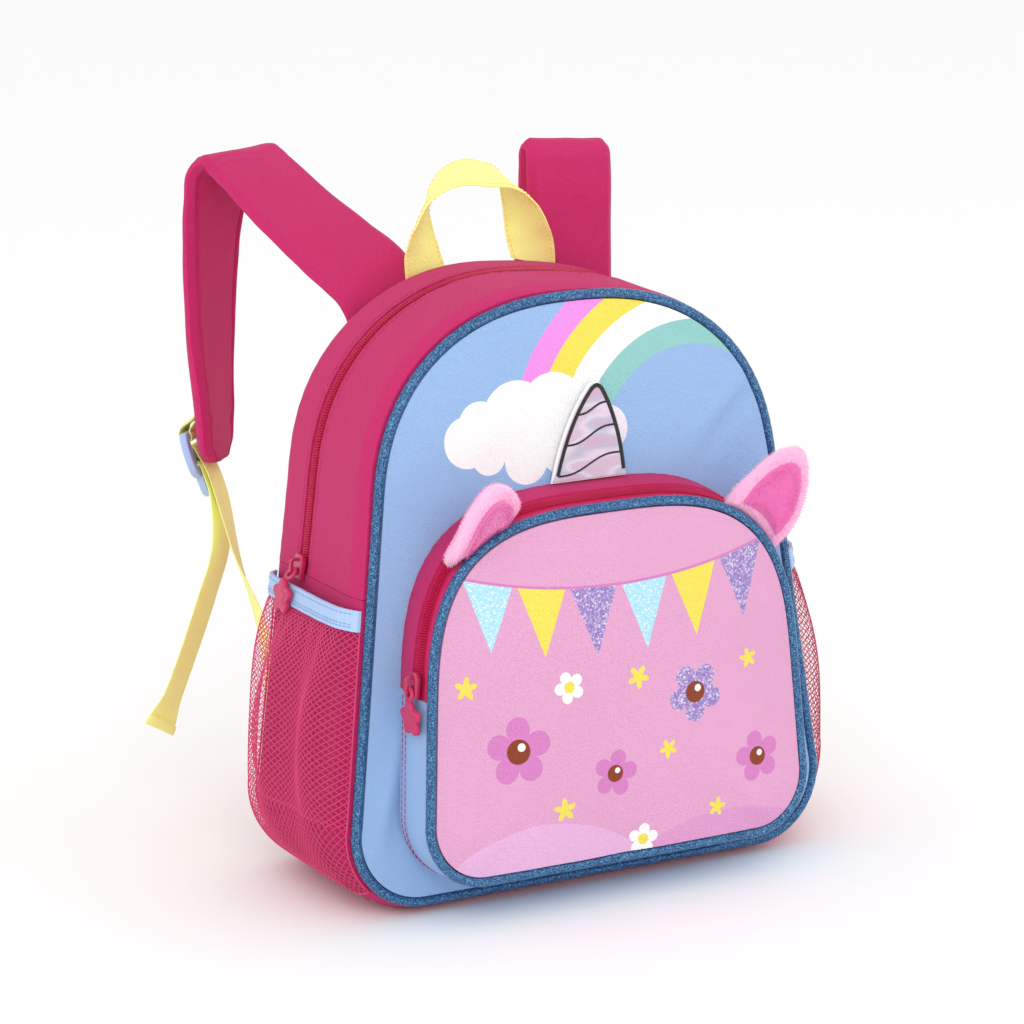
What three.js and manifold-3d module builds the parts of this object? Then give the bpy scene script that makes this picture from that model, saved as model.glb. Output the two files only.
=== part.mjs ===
// A small child's backpack that stands on its base, in millimetres. +Z is up, the front pocket faces -Y,
// and +X is to the right of someone who looks at the front. The origin is on the floor, under the middle
// of the main compartment. Every cloth piece is a thin wall of its own, so the bag is hollow inside.
import * as THREE from "three";
import Module from "manifold-3d";

// Main body: the outline of its front seam, seen from the front, and its depth
const BODY_HALF_WIDTH = 129.5;
const BODY_TAPER = 0.124;
const BODY_HEIGHT = 285;
const BODY_SHOULDER_HEIGHT = 198;
const BODY_CORNER_RADIUS = 35;
const BODY_ARCH_POWER = 2.43;
const BODY_DEPTH = 109;
const BODY_LEAN = 22;
const BODY_LIFT = 6.4;
const GUSSET_BULGE = 5.5;
const GUSSET_SEAT_SHARE = 0.8;
const GUSSET_TOP_SAG = 3.5;
const GUSSET_SAG_HEIGHT = 85;
const GUSSET_SAG_HALF_WIDTH = 40;
const ZIP_START_CLEARANCE = 5;
const MAIN_ZIP_FROM_REAR = 36;

// Cloth, padding and trim
const CLOTH = 2;
const SEAM_GAP = 0.3;
const PIPING_RADIUS = 2.4;
const PANEL_DOME = 4;
const BACK_PAD = 6;
const BACK_DOME = 4;
const ZIP_WIDTH = 9.4;
const ZIP_RECESS = 0.8;
const ZIP_TAPE = 1.2;
const ZIP_COIL_HEIGHT = 1.1;

// Front pocket
const POCKET_HALF_WIDTH = 104.4;
const POCKET_TAPER = 0.061;
const POCKET_HEIGHT = 173;
const POCKET_SHOULDER_HEIGHT = 82;
const POCKET_CORNER_RADIUS = 29;
const POCKET_ARCH_POWER = 3.17;
const POCKET_LIFT = 22;
const POCKET_DEPTH = 30;
const POCKET_DOME = 6;
const POCKET_BULGE = 1.5;
const POCKET_REAR_RISE = 5;
const POCKET_REAR_SPREAD = 1.5;
const POCKET_ZIP_FROM_REAR = 19;
const POCKET_SEAM_HEIGHT = 112;

// Side pockets of net with an elastic top
const NET = 1.2;
const NET_TOP_HEIGHT = 141;
const NET_HEM_HEIGHT = 17;
const NET_TOP_GAP = 5;
const NET_REAR_SWELL = 0.9;
const NET_BELLY = 15;
const NET_REAR_INSET = 3;
const NET_FRONT_INSET = 1;
const NET_SEAM_GAP = 0.5;
const ELASTIC_HEIGHT = 10;
const ELASTIC = 1.8;

// Carrying handle
const HANDLE_WIDTH = 24;
const HANDLE_THICKNESS = 1.8;
const HANDLE_HALF_SPAN = 31;
const HANDLE_RISE = 47;
const HANDLE_X = -4;

// Shoulder straps, their webbing and buckles
const STRAP_WIDTH = 48;
const STRAP_THICKNESS = 7.5;
const STRAP_LENGTH = 300;
const STRAP_ROOT_X = 50.5;
const STRAP_ROOT_DROP = 33;
const WEBBING_WIDTH = 20;
const WEBBING = 1.5;
const TAIL_LENGTH = 128;
const WEBBING_ANCHOR_HEIGHT = 34;
const WEBBING_ANCHOR_INSET = 12;
const BUCKLE_WIDTH = 31;
const BUCKLE_THICKNESS = 4;
const BUCKLE_TOP_BAR = 3;
const BUCKLE_BAR = 4;
const BUCKLE_SLOT = 6;
const BUCKLE_TAB_LENGTH = 12;
const BUCKLE_TAB_WIDTH = 16;
const BUCKLE_STAND_OUT = 9.8;
const BUCKLE_TILT = 14;
const LOOP_SEWN_LENGTH = 16;

// Horn and ears on the pocket
const HORN_WIDTH = 40;
const HORN_HEIGHT = 47;
const HORN_BACKING = 2;
const HORN_FACE = 1;
const HORN_X = 1;
const HORN_LEAN = 7;
const HORN_CLEARANCE = 3;
const EAR_WIDTH = 38;
const EAR_LENGTH = 42;
const EAR_THICKNESS = 9;
const EAR_EDGE = 3;
const EAR_BASE_ARCH = 4;
const EAR_LINING = 1.6;
const EAR_LINING_SHARE = 0.7;
const EAR_CUP = 4;

// Zip sliders and pulls
const MAIN_SLIDER_RISE = 3.5;
const POCKET_SLIDER_RISE = 7;
const SLIDER_LENGTH = 11;
const SLIDER_WIDTH = 7.5;
const SLIDER_HEIGHT = 3;
const BRIDGE_LENGTH = 8;
const BRIDGE_WIDTH = 1.6;
const BRIDGE_HEIGHT = 3.6;
const BRIDGE_WIRE = 1.2;
const PULL_RING_RADIUS = 3.6;
const PULL_HOLE_RADIUS = 2.3;
const PULL_THICKNESS = 1.4;
const PULL_NECK = 2.5;
const CHARM_RADIUS = 8;
const CHARM_THICKNESS = 3;
const CHARM_PETALS = 5;

const COLOURS = {
  magenta: 0xd03a76,
  zip: 0xa81c3c,
  blue: 0xa6c3ea,
  glitterBlue: 0x3f7fa6,
  pink: 0xf1b5dc,
  yellow: 0xf9da72,
  buckle: 0xa9c1eb,
  plush: 0xffb6dc,
  plushInner: 0xe463ae,
  horn: 0xdcbfdc,
  white: 0xfafafa,
  black: 0x101014,
};

const manifold = await Module();
manifold.setup();

const bag = new THREE.Group();

function add(name, colour, geometry, parent = bag, roughness = 0.85) {
  const material = new THREE.MeshStandardMaterial({ color: COLOURS[colour], roughness, metalness: 0 });
  const mesh = new THREE.Mesh(geometry, material);
  mesh.name = name;
  parent.add(mesh);
  return mesh;
}

// A closed surface from points and triangles, turned so that its faces point out.
function closedGeometry(points, triangles) {
  let sixVolumes = 0;
  for (const [a, b, c] of triangles) {
    sixVolumes += points[a].dot(new THREE.Vector3().crossVectors(points[b], points[c]));
  }
  const index = triangles.flatMap(([a, b, c]) => (sixVolumes < 0 ? [a, c, b] : [a, b, c]));
  const geometry = new THREE.BufferGeometry().setFromPoints(points);
  geometry.setIndex(index);
  geometry.computeVertexNormals();
  return geometry;
}

// A curved wall between two surfaces of (u, v), both from 0 to 1.
function wall(uSteps, vSteps, outer, inner) {
  const points = [];
  for (const surface of [outer, inner]) {
    for (let i = 0; i <= uSteps; i++) {
      for (let j = 0; j <= vSteps; j++) points.push(surface(i / uSteps, j / vSteps));
    }
  }
  const at = (side, i, j) => (side * (uSteps + 1) + i) * (vSteps + 1) + j;
  const triangles = [];
  const quad = (a, b, c, d) => triangles.push([a, b, c], [a, c, d]);
  for (let i = 0; i < uSteps; i++) {
    for (let j = 0; j < vSteps; j++) {
      quad(at(0, i, j), at(0, i + 1, j), at(0, i + 1, j + 1), at(0, i, j + 1));
      quad(at(1, i, j), at(1, i, j + 1), at(1, i + 1, j + 1), at(1, i + 1, j));
    }
    quad(at(0, i, 0), at(1, i, 0), at(1, i + 1, 0), at(0, i + 1, 0));
    quad(at(0, i, vSteps), at(0, i + 1, vSteps), at(1, i + 1, vSteps), at(1, i, vSteps));
  }
  for (let j = 0; j < vSteps; j++) {
    quad(at(0, 0, j), at(0, 0, j + 1), at(1, 0, j + 1), at(1, 0, j));
    quad(at(0, uSteps, j), at(1, uSteps, j), at(1, uSteps, j + 1), at(0, uSteps, j + 1));
  }
  return closedGeometry(points, triangles);
}

// A plate with a closed outline: surface(u, r, side) gives a point of its front, side 0, or back, side 1,
// at the share u of the way round and the share r of the way out from its middle.
function plate(around, shares, surface) {
  const points = [surface(0, 0, 0)];
  const rings = [...shares.map((r) => [r, 0]), ...shares.toReversed().map((r) => [r, 1])];
  for (const [r, side] of rings) {
    for (let i = 0; i < around; i++) points.push(surface(i / around, r, side));
  }
  points.push(surface(0, 0, 1));
  const at = (ring, i) => 1 + ring * around + (i % around);
  const last = points.length - 1;
  const triangles = [];
  for (let i = 0; i < around; i++) {
    triangles.push([0, at(0, i), at(0, i + 1)], [last, at(rings.length - 1, i + 1), at(rings.length - 1, i)]);
    for (let ring = 0; ring < rings.length - 1; ring++) {
      triangles.push([at(ring, i), at(ring + 1, i), at(ring + 1, i + 1)]);
      triangles.push([at(ring, i), at(ring + 1, i + 1), at(ring, i + 1)]);
    }
  }
  return closedGeometry(points, triangles);
}

// The outline of a panel in the XZ plane: a flat base, round corners, sides that lean in, and an arch.
// t runs from the middle of the base up the +X side, over the top and down the -X side.
class ArchOutline extends THREE.Curve {
  constructor(sizes) {
    super();
    Object.assign(this, sizes);
    this.arcLengthDivisions = 900;
    this.lean = Math.atan(this.taper);
    this.top = this.base + this.height;
  }

  getPoint(t, target = new THREE.Vector3()) {
    const side = t <= 0.5 ? 1 : -1;
    const s = (t <= 0.5 ? t : 1 - t) * 2;
    const corner = this.cornerRadius;
    const flat = this.halfWidth - corner;
    const cornerEnd = Math.PI / 2 + this.lean;
    const lengths = [flat, corner * cornerEnd, this.shoulder - corner, 1.25 * (this.height - this.shoulder)];
    let along = s * lengths.reduce((sum, length) => sum + length);
    if (along <= lengths[0]) return target.set(side * along, 0, this.base);
    along -= lengths[0];
    if (along <= lengths[1]) {
      const a = along / corner - Math.PI / 2;
      return target.set(side * (flat + corner * Math.cos(a)), 0, this.base + corner * (1 + Math.sin(a)));
    }
    along -= lengths[1];
    const start = this.base + corner * (1 + Math.sin(this.lean));
    const shoulderZ = this.base + this.shoulder;
    const a = Math.min(1, Math.max(0, along - lengths[2]) / lengths[3]) * (Math.PI / 2);
    const z =
      along <= lengths[2]
        ? THREE.MathUtils.lerp(start, shoulderZ, along / lengths[2])
        : shoulderZ + (this.top - shoulderZ) * Math.sin(a) ** (2 / this.power);
    return target.set(side * this.halfAt(z), 0, z);
  }

  // Half the outline's width at a height above its lower corners.
  halfAt(z) {
    const rise = Math.max(0, (z - this.base - this.shoulder) / (this.height - this.shoulder));
    const straight = this.halfWidth - this.taper * (z - this.base - this.cornerRadius);
    return straight * Math.max(0, 1 - rise ** this.power) ** (1 / this.power);
  }

  // The share of the whole length, from the middle of the base, at which the +X side reaches a height.
  shareAtHeight(height) {
    let low = (this.halfWidth - this.cornerRadius) / this.getLength();
    let high = 0.5;
    for (let i = 0; i < 40; i++) {
      const middle = (low + high) / 2;
      if (this.getPointAt(middle).z < height) low = middle;
      else high = middle;
    }
    return low;
  }

  // A point of the outline moved out by a distance along its normal.
  offsetPoint(u, out) {
    const share = ((u % 1) + 1) % 1;
    const p = this.getPointAt(share);
    const tangent = this.getTangentAt(share);
    return p.add(new THREE.Vector3(tangent.z, 0, -tangent.x).multiplyScalar(out));
  }

  // How far a point lies from the middle of the outline, as a share of the way to its edge.
  reach(x, z) {
    const middle = this.base + this.height / 2;
    const angle = Math.atan2(Math.abs(x), middle - z);
    let low = 0;
    let high = 0.5;
    for (let i = 0; i < 30; i++) {
      const share = (low + high) / 2;
      const p = this.getPointAt(share);
      if (Math.atan2(p.x, middle - p.z) < angle) low = share;
      else high = share;
    }
    const edge = this.getPointAt(low);
    return Math.hypot(x, z - middle) / Math.hypot(edge.x, edge.z - middle);
  }
}

const body = new ArchOutline({
  halfWidth: BODY_HALF_WIDTH,
  taper: BODY_TAPER,
  height: BODY_HEIGHT,
  shoulder: BODY_SHOULDER_HEIGHT,
  cornerRadius: BODY_CORNER_RADIUS,
  power: BODY_ARCH_POWER,
  base: BODY_LIFT,
});
const pocket = new ArchOutline({
  halfWidth: POCKET_HALF_WIDTH,
  taper: POCKET_TAPER,
  height: POCKET_HEIGHT,
  shoulder: POCKET_SHOULDER_HEIGHT,
  cornerRadius: POCKET_CORNER_RADIUS,
  power: POCKET_ARCH_POWER,
  base: POCKET_LIFT,
});

const REAR_Y = BODY_DEPTH / 2;
const frontSeamY = (z) => -BODY_DEPTH / 2 + (BODY_LEAN * (z - BODY_LIFT)) / BODY_HEIGHT;
const dome = (outline, x, z) => Math.max(0, 1 - outline.reach(x, z) ** 2);
const frontPanelY = (x, z) => frontSeamY(z) - PANEL_DOME * dome(body, x, z);
const pocketSeamY = (z) => frontSeamY(z) - POCKET_DEPTH;
const backPanelY = (x, z) => REAR_Y + BACK_PAD / 2 + BACK_DOME * dome(body, x, z);

// A panel inside a ring of piping, domed to the front.
function panel(outline, seamY, height, around, shares) {
  return plate(around, shares, (u, r, side) => {
    const rim = outline.offsetPoint(u, -PIPING_RADIUS - SEAM_GAP);
    const x = rim.x * r;
    const middle = outline.base + outline.height / 2;
    const z = middle + (rim.z - middle) * r;
    const y = seamY(z) - height * dome(outline, x, z) + (side ? CLOTH / 2 : -CLOTH / 2);
    return new THREE.Vector3(x, y, z);
  });
}
const BODY_STEPS = 56;
const POCKET_STEPS = 48;
const PANEL_SHARES = [0.35, 0.7, 1];
add("front_panel", "blue", panel(body, frontSeamY, PANEL_DOME, BODY_STEPS, PANEL_SHARES));
add("pocket_panel", "pink", panel(pocket, pocketSeamY, POCKET_DOME, POCKET_STEPS, PANEL_SHARES));

// The padded back: its edge is thin where it is sewn, and its pad stands proud behind.
add(
  "back_panel",
  "magenta",
  plate(BODY_STEPS, [0.5, 0.9, 1], (u, r, side) => {
    const rim = body.offsetPoint(u, CLOTH / 2);
    const middle = body.base + body.height / 2;
    const x = rim.x * r;
    const z = Math.max(0, middle + (rim.z - middle) * r);
    const edge = r === 1 ? CLOTH / 2 : 0;
    return new THREE.Vector3(x, side ? backPanelY(x, z) - edge : REAR_Y - BACK_PAD / 2 + edge, z);
  }),
);

class Ring extends THREE.Curve {
  constructor(outline, seamY) {
    super();
    this.outline = outline;
    this.seamY = seamY;
  }

  getPoint(t, target = new THREE.Vector3()) {
    const p = this.outline.getPointAt(t % 1);
    return target.set(p.x, this.seamY(p.z), p.z);
  }
}
const piping = (outline, seamY, steps) =>
  new THREE.TubeGeometry(new Ring(outline, seamY), steps, PIPING_RADIUS, 5, true);
add("main_piping", "glitterBlue", piping(body, frontSeamY, BODY_STEPS), bag, 0.4);
add("pocket_piping", "glitterBlue", piping(pocket, pocketSeamY, POCKET_STEPS), bag, 0.4);

// How much lower the gusset is where its top sags, from the middle to the right.
function gussetSag(x, z) {
  const rise = THREE.MathUtils.smoothstep(z, body.top - GUSSET_SAG_HEIGHT, body.top);
  return GUSSET_TOP_SAG * rise * THREE.MathUtils.smoothstep(x, -GUSSET_SAG_HALF_WIDTH, GUSSET_SAG_HALF_WIDTH);
}
// How far the main gusset stands out from the outline at a depth y. Its middle is flat and its seams are low.
function gussetOut(y, z, sag = 0) {
  const front = frontSeamY(z);
  const v = Math.abs((2 * (y - front)) / (REAR_Y - front) - 1);
  return CLOTH / 2 + (GUSSET_BULGE - sag) * Math.min(1, (1 - Math.min(1, v) ** 6) / GUSSET_SEAT_SHARE);
}

// A point of the main gusset at a share u of the outline, a share of its depth, and a distance inside its face.
// Where the base would sag below the floor it lies flat on it.
function gussetPoint(u, yShare, inside, yFront, yRear) {
  const { x, z } = body.offsetPoint(u, 0);
  const y = THREE.MathUtils.lerp(yRear(z), yFront(z), yShare);
  const p = body.offsetPoint(u, gussetOut(y, z, gussetSag(x, z)) - inside);
  return new THREE.Vector3(p.x, y, Math.max(inside, p.z));
}
const gussetFrontY = (z) => frontSeamY(z) + PIPING_RADIUS + SEAM_GAP;
const gussetRearY = () => REAR_Y - BACK_PAD / 2 - SEAM_GAP;
const zipY = () => REAR_Y - MAIN_ZIP_FROM_REAR;
const zipFrontY = () => zipY() - ZIP_WIDTH / 2;
const zipRearY = () => zipY() + ZIP_WIDTH / 2;

// The main zip's ends are sewn in a little above the elastic.
const zipSeamHeight = NET_TOP_HEIGHT + ELASTIC_HEIGHT + ZIP_START_CLEARANCE;
const bodySeam = body.shareAtHeight(zipSeamHeight);
const bodyGap = SEAM_GAP / body.getLength();

// A strip of the main gusset between two shares of the outline and two depths.
function gussetStrip(from, to, yFront, yRear, uSteps, vSteps, sunk = 0, thickness = CLOTH) {
  const surface = (inside) => (u, v) =>
    gussetPoint(THREE.MathUtils.lerp(from, to, u), v, inside, yFront, yRear);
  return wall(uSteps, vSteps, surface(sunk), surface(sunk + thickness));
}
add("gusset_base", "magenta", gussetStrip(-bodySeam, bodySeam, gussetFrontY, gussetRearY, 32, 6));
const gussetSpan = [bodySeam + bodyGap, 1 - bodySeam - bodyGap];
add("gusset_zip_front", "magenta",
  gussetStrip(...gussetSpan, gussetFrontY, (z) => zipFrontY(z) - SEAM_GAP, 28, 3));
add("gusset_zip_rear", "magenta",
  gussetStrip(...gussetSpan, (z) => zipRearY(z) + SEAM_GAP, gussetRearY, 28, 3));

// A zip: a tape with the coil standing proud along its middle.
const COIL_PROFILE = [0, 1, 0];
const coilAt = (v) => COIL_PROFILE[Math.round(v * (COIL_PROFILE.length - 1))] * ZIP_COIL_HEIGHT;
const mainZipPoint = (u, v, inside) =>
  gussetPoint(THREE.MathUtils.lerp(...gussetSpan, u), v, inside, zipFrontY, zipRearY);
add("main_zip", "zip",
  wall(
    28,
    COIL_PROFILE.length - 1,
    (u, v) => mainZipPoint(u, v, ZIP_RECESS - coilAt(v)),
    (u, v) => mainZipPoint(u, v, ZIP_RECESS + ZIP_TAPE),
  ), bag, 0.6);

// The pocket's gusset runs from the front panel, at depth share 0, to the pocket's piping, at 1. Its seam on
// the panel is wider and higher than the piping.
function pocketPoint(u, depth, inside) {
  const bulge = POCKET_BULGE * Math.sin(Math.PI * THREE.MathUtils.clamp(depth, 0, 1));
  const p = pocket.offsetPoint(u, CLOTH / 2 - inside + bulge + POCKET_REAR_SPREAD * (1 - depth));
  p.z += POCKET_REAR_RISE * (1 - depth) * ((p.z - pocket.base) / pocket.height) ** 2;
  const rear = frontPanelY(p.x, p.z) - CLOTH / 2 - SEAM_GAP;
  const front = pocketSeamY(p.z) + PIPING_RADIUS + SEAM_GAP;
  return new THREE.Vector3(p.x, THREE.MathUtils.lerp(rear, front, depth), p.z);
}
const pocketReach = POCKET_DEPTH - PIPING_RADIUS - SEAM_GAP - CLOTH / 2;
const pocketZipStart = (POCKET_ZIP_FROM_REAR - ZIP_WIDTH / 2) / pocketReach;
const pocketZipEnd = (POCKET_ZIP_FROM_REAR + ZIP_WIDTH / 2) / pocketReach;
const pocketGap = SEAM_GAP / pocketReach;
const pocketSeam = pocket.shareAtHeight(POCKET_SEAM_HEIGHT);
const pocketSeamGap = SEAM_GAP / pocket.getLength();
const pocketSpan = [pocketSeam + pocketSeamGap, 1 - pocketSeam - pocketSeamGap];
function pocketStrip(from, to, start, end, uSteps, vSteps) {
  const surface = (inside) => (u, v) =>
    pocketPoint(THREE.MathUtils.lerp(from, to, u), THREE.MathUtils.lerp(start, end, v), inside);
  return wall(uSteps, vSteps, surface(0), surface(CLOTH));
}
add("pocket_gusset_base", "blue", pocketStrip(-pocketSeam, pocketSeam, 0, 1, 28, 2));
add("pocket_gusset_rear", "magenta", pocketStrip(...pocketSpan, 0, pocketZipStart - pocketGap, 22, 2));
add("pocket_gusset_front", "magenta", pocketStrip(...pocketSpan, pocketZipEnd + pocketGap, 1, 22, 1));
function pocketZipPoint(u, v, inside) {
  const depth = THREE.MathUtils.lerp(pocketZipStart, pocketZipEnd, v);
  return pocketPoint(THREE.MathUtils.lerp(...pocketSpan, u), depth, inside);
}
add("pocket_zip", "zip",
  wall(
    22,
    COIL_PROFILE.length - 1,
    (u, v) => pocketZipPoint(u, v, ZIP_RECESS - coilAt(v)),
    (u, v) => pocketZipPoint(u, v, ZIP_RECESS + ZIP_TAPE),
  ), bag, 0.6);

// Side pockets: a wall of net that stands off the gusset, gathered at its top by an elastic band.
const netTop = body.shareAtHeight(NET_TOP_HEIGHT);
const elasticTop = body.shareAtHeight(NET_TOP_HEIGHT + ELASTIC_HEIGHT);
const netHem = body.shareAtHeight(NET_HEM_HEIGHT);
const netGap = SEAM_GAP / body.getLength();
// drop is 0 at the elastic and 1 at the hem, across is 0 at the rear seam and 1 at the front one.
function netOut(drop, across) {
  const pillow = 1 - Math.abs(2 * across - 1) ** 4;
  const swell = 1 + NET_REAR_SWELL * Math.max(0, 1 - across / 0.3);
  const belly = NET_BELLY * (1.1 - 0.4 * across) * Math.sin(Math.PI * drop ** 0.9) ** 0.8;
  const gathered = NET_TOP_GAP * swell * (1 - drop) ** 1.5 + belly;
  return NET_SEAM_GAP + gathered * pillow;
}
function sidePoint(side, share, across, out) {
  const z = body.offsetPoint(share, 0).z;
  const y = THREE.MathUtils.lerp(gussetRearY() - NET_REAR_INSET, gussetFrontY(z) + NET_FRONT_INSET, across);
  const p = body.offsetPoint(share, gussetOut(y, z) + out);
  return new THREE.Vector3(side * p.x, y, Math.max(0, p.z));
}
function netPocket(side) {
  const surface = (lift) => (u, v) =>
    sidePoint(side, THREE.MathUtils.lerp(netTop - netGap, netHem, u), v, netOut(u, v) + lift);
  return wall(12, 6, surface(NET), surface(0));
}
function elasticBand(side) {
  const surface = (lift) => (u, v) =>
    sidePoint(side, THREE.MathUtils.lerp(netTop, elasticTop, u), v, netOut(0, v) + lift);
  return wall(1, 6, surface(ELASTIC), surface(0));
}
for (const [word, side] of [["left", -1], ["right", 1]]) {
  add(`net_pocket_${word}`, "magenta", netPocket(side));
  add(`elastic_${word}`, "blue", elasticBand(side));
}

// A band that follows rows of a centre point and a width direction, by smooth curves through both.
// A square band's width is kept at right angles to its route.
class BandRoute {
  constructor(rows, square = true) {
    this.square = square;
    this.centres = new THREE.CatmullRomCurve3(rows.map((row) => row.at), false, "centripetal");
    this.widths = new THREE.CatmullRomCurve3(rows.map((row) => row.across), false, "catmullrom", 0.3);
  }

  frame(t) {
    const tangent = this.centres.getTangent(t);
    const across = this.widths.getPoint(t);
    if (this.square) across.addScaledVector(tangent, -across.dot(tangent));
    across.normalize();
    const normal = new THREE.Vector3().crossVectors(tangent, across).normalize();
    return { at: this.centres.getPoint(t), tangent, across, normal };
  }

  // The frame at a share of the route's length.
  frameAt(share) {
    return this.frame(this.centres.getUtoTmapping(share));
  }
}
// The direction of a band's width: yaw turns it from +X towards +Y, tilt lifts its far end.
function widthDirection(yaw, tilt) {
  const a = THREE.MathUtils.degToRad(yaw);
  const e = THREE.MathUtils.degToRad(tilt);
  return new THREE.Vector3(Math.cos(a) * Math.cos(e), Math.sin(a) * Math.cos(e), Math.sin(e));
}
// A flat or padded band along a route. Its edge is a share of its full thickness.
function band(route, steps, columns, width, thickness, edge) {
  const surface = (sign) => (u, v) => {
    const { at, across, normal } = route.frame(u);
    const c = 2 * v - 1;
    const half = (thickness / 2) * (edge + (1 - edge) * (1 - c ** 4));
    return at.clone().addScaledVector(across, (c * width(u)) / 2).addScaledVector(normal, sign * half);
  };
  return wall(steps, columns, surface(1), surface(-1));
}

// Handle: both feet are sewn along the rear seam, and its width turns half round from foot to foot.
// Columns: span and rise are shares of the half span and the rise, yaw and tilt turn the width.
const HANDLE_ROUTE = [
  { span: -0.99, rise: 0, yaw: 8, tilt: 12 },
  { span: -1.055, rise: 0.22, yaw: 17, tilt: 8 },
  { span: -1.077, rise: 0.44, yaw: 33, tilt: 8 },
  { span: -1.03, rise: 0.64, yaw: 50, tilt: 9 },
  { span: -0.89, rise: 0.85, yaw: 58, tilt: 15 },
  { span: -0.66, rise: 0.955, yaw: 61, tilt: 22 },
  { span: -0.316, rise: 1, yaw: 63, tilt: 24 },
  { span: 0.1, rise: 0.955, yaw: 70, tilt: 22 },
  { span: 0.455, rise: 0.89, yaw: 85, tilt: 15 },
  { span: 0.62, rise: 0.765, yaw: 100, tilt: 8 },
  { span: 0.75, rise: 0.605, yaw: 115, tilt: 4 },
  { span: 0.83, rise: 0.44, yaw: 127, tilt: 2 },
  { span: 0.913, rise: 0.22, yaw: 153, tilt: 5 },
  { span: 0.974, rise: 0, yaw: 172, tilt: 12 },
];
const handleFootY = REAR_Y;
function seamTop(x) {
  let z = body.top;
  while (body.halfAt(z) < Math.abs(x)) z -= 0.05;
  return z + CLOTH / 2 + SEAM_GAP;
}
const handleRoute = new BandRoute(
  HANDLE_ROUTE.map(({ span, rise, yaw, tilt }) => {
    const x = HANDLE_X + span * HANDLE_HALF_SPAN;
    return {
      at: new THREE.Vector3(x, handleFootY, seamTop(x) + 0.4 + rise * HANDLE_RISE),
      across: widthDirection(yaw, tilt),
    };
  }),
  false,
);
add("handle", "yellow", band(handleRoute, 24, 2, () => HANDLE_WIDTH, HANDLE_THICKNESS, 1));

// Shoulder straps. Both are sewn to the back near its top. Columns: side, back and up are shares of the
// strap's length from its root, yaw and tilt are degrees. The left one stands out behind the bag, folds
// over at its crest and hangs. The right one rises straight, folds tightly and hangs behind the bag.
const LEFT_STRAP_ROUTE = [
  { side: 0.005, back: 0, up: 0, yaw: 0, tilt: 4 },
  { side: 0, back: 0, up: 0.04, yaw: 5, tilt: 12 },
  { side: -0.018, back: 0.028, up: 0.095, yaw: 20, tilt: 26 },
  { side: -0.049, back: 0.103, up: 0.143, yaw: 27, tilt: 26 },
  { side: -0.083, back: 0.19, up: 0.195, yaw: 24, tilt: 18 },
  { side: -0.112, back: 0.273, up: 0.248, yaw: 15, tilt: 8 },
  { side: -0.126, back: 0.317, up: 0.269, yaw: 11, tilt: 4 },
  { side: -0.139, back: 0.347, up: 0.245, yaw: 14, tilt: 3 },
  { side: -0.149, back: 0.363, up: 0.187, yaw: 26, tilt: 1 },
  { side: -0.156, back: 0.368, up: 0.107, yaw: 32, tilt: 0 },
  { side: -0.163, back: 0.363, up: -0.013, yaw: 38, tilt: 0 },
  { side: -0.164, back: 0.353, up: -0.153, yaw: 46, tilt: 0 },
  { side: -0.165, back: 0.348, up: -0.217, yaw: 49, tilt: 0 },
  { side: -0.164, back: 0.345, up: -0.257, yaw: 50, tilt: 0 },
];
const RIGHT_STRAP_ROUTE = [
  { side: 0.005, back: 0, up: 0, yaw: 0, tilt: -4 },
  { side: 0.005, back: 0.002, up: 0.083, yaw: 0, tilt: -4 },
  { side: 0.005, back: 0.004, up: 0.18, yaw: 0, tilt: -4 },
  { side: 0.005, back: 0.005, up: 0.257, yaw: 0, tilt: -4 },
  { side: 0.005, back: 0.009, up: 0.285, yaw: 0, tilt: -4 },
  { side: 0.005, back: 0.019, up: 0.294, yaw: 0, tilt: -4 },
  { side: 0.005, back: 0.029, up: 0.285, yaw: 1, tilt: -4 },
  { side: 0.005, back: 0.032, up: 0.257, yaw: 1, tilt: -4 },
  { side: 0.003, back: 0.035, up: 0.18, yaw: 2, tilt: -3 },
  { side: 0.003, back: 0.053, up: 0.057, yaw: 2, tilt: -2 },
  { side: 0.008, back: 0.087, up: -0.087, yaw: -4, tilt: 0 },
  { side: 0.017, back: 0.112, up: -0.22, yaw: -8, tilt: 0 },
  { side: 0.018, back: 0.113, up: -0.262, yaw: -10, tilt: 0 },
];
const strapRootZ = body.top - STRAP_ROOT_DROP;
function strapRoute(side, rows) {
  const root = new THREE.Vector3(side * STRAP_ROOT_X, 0, strapRootZ);
  root.y = backPanelY(STRAP_ROOT_X, strapRootZ) + SEAM_GAP + STRAP_THICKNESS / 2;
  return new BandRoute(
    rows.map((row) => ({
      at: root.clone().add(new THREE.Vector3(row.side, row.back, row.up).multiplyScalar(STRAP_LENGTH)),
      across: widthDirection(row.yaw, row.tilt),
    })),
  );
}
// The strap's end is rounded.
const STRAP_END_SHARE = 0.92;
function strapWidth(t) {
  const rounded = Math.max(0, t - STRAP_END_SHARE) / (1 - STRAP_END_SHARE);
  return STRAP_WIDTH * (1 - 0.5 * rounded ** 2);
}

// The frame of a buckle at the lower end of a strap: x across it, y down, z out from the strap's outer face.
// Its lower end is tilted towards the strap.
function buckleFrame(route) {
  const { at, tangent, normal } = route.frame(1);
  const out = normal.y < 0 ? normal.clone().negate() : normal.clone();
  const right = new THREE.Vector3().crossVectors(tangent, out);
  const tilt = THREE.MathUtils.degToRad(BUCKLE_TILT);
  const down = tangent.clone().applyAxisAngle(right, -tilt);
  const face = new THREE.Vector3().crossVectors(right, down);
  const middle = at.addScaledVector(out, BUCKLE_STAND_OUT);
  return new THREE.Matrix4().makeBasis(right, down, face).setPosition(middle);
}

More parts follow.
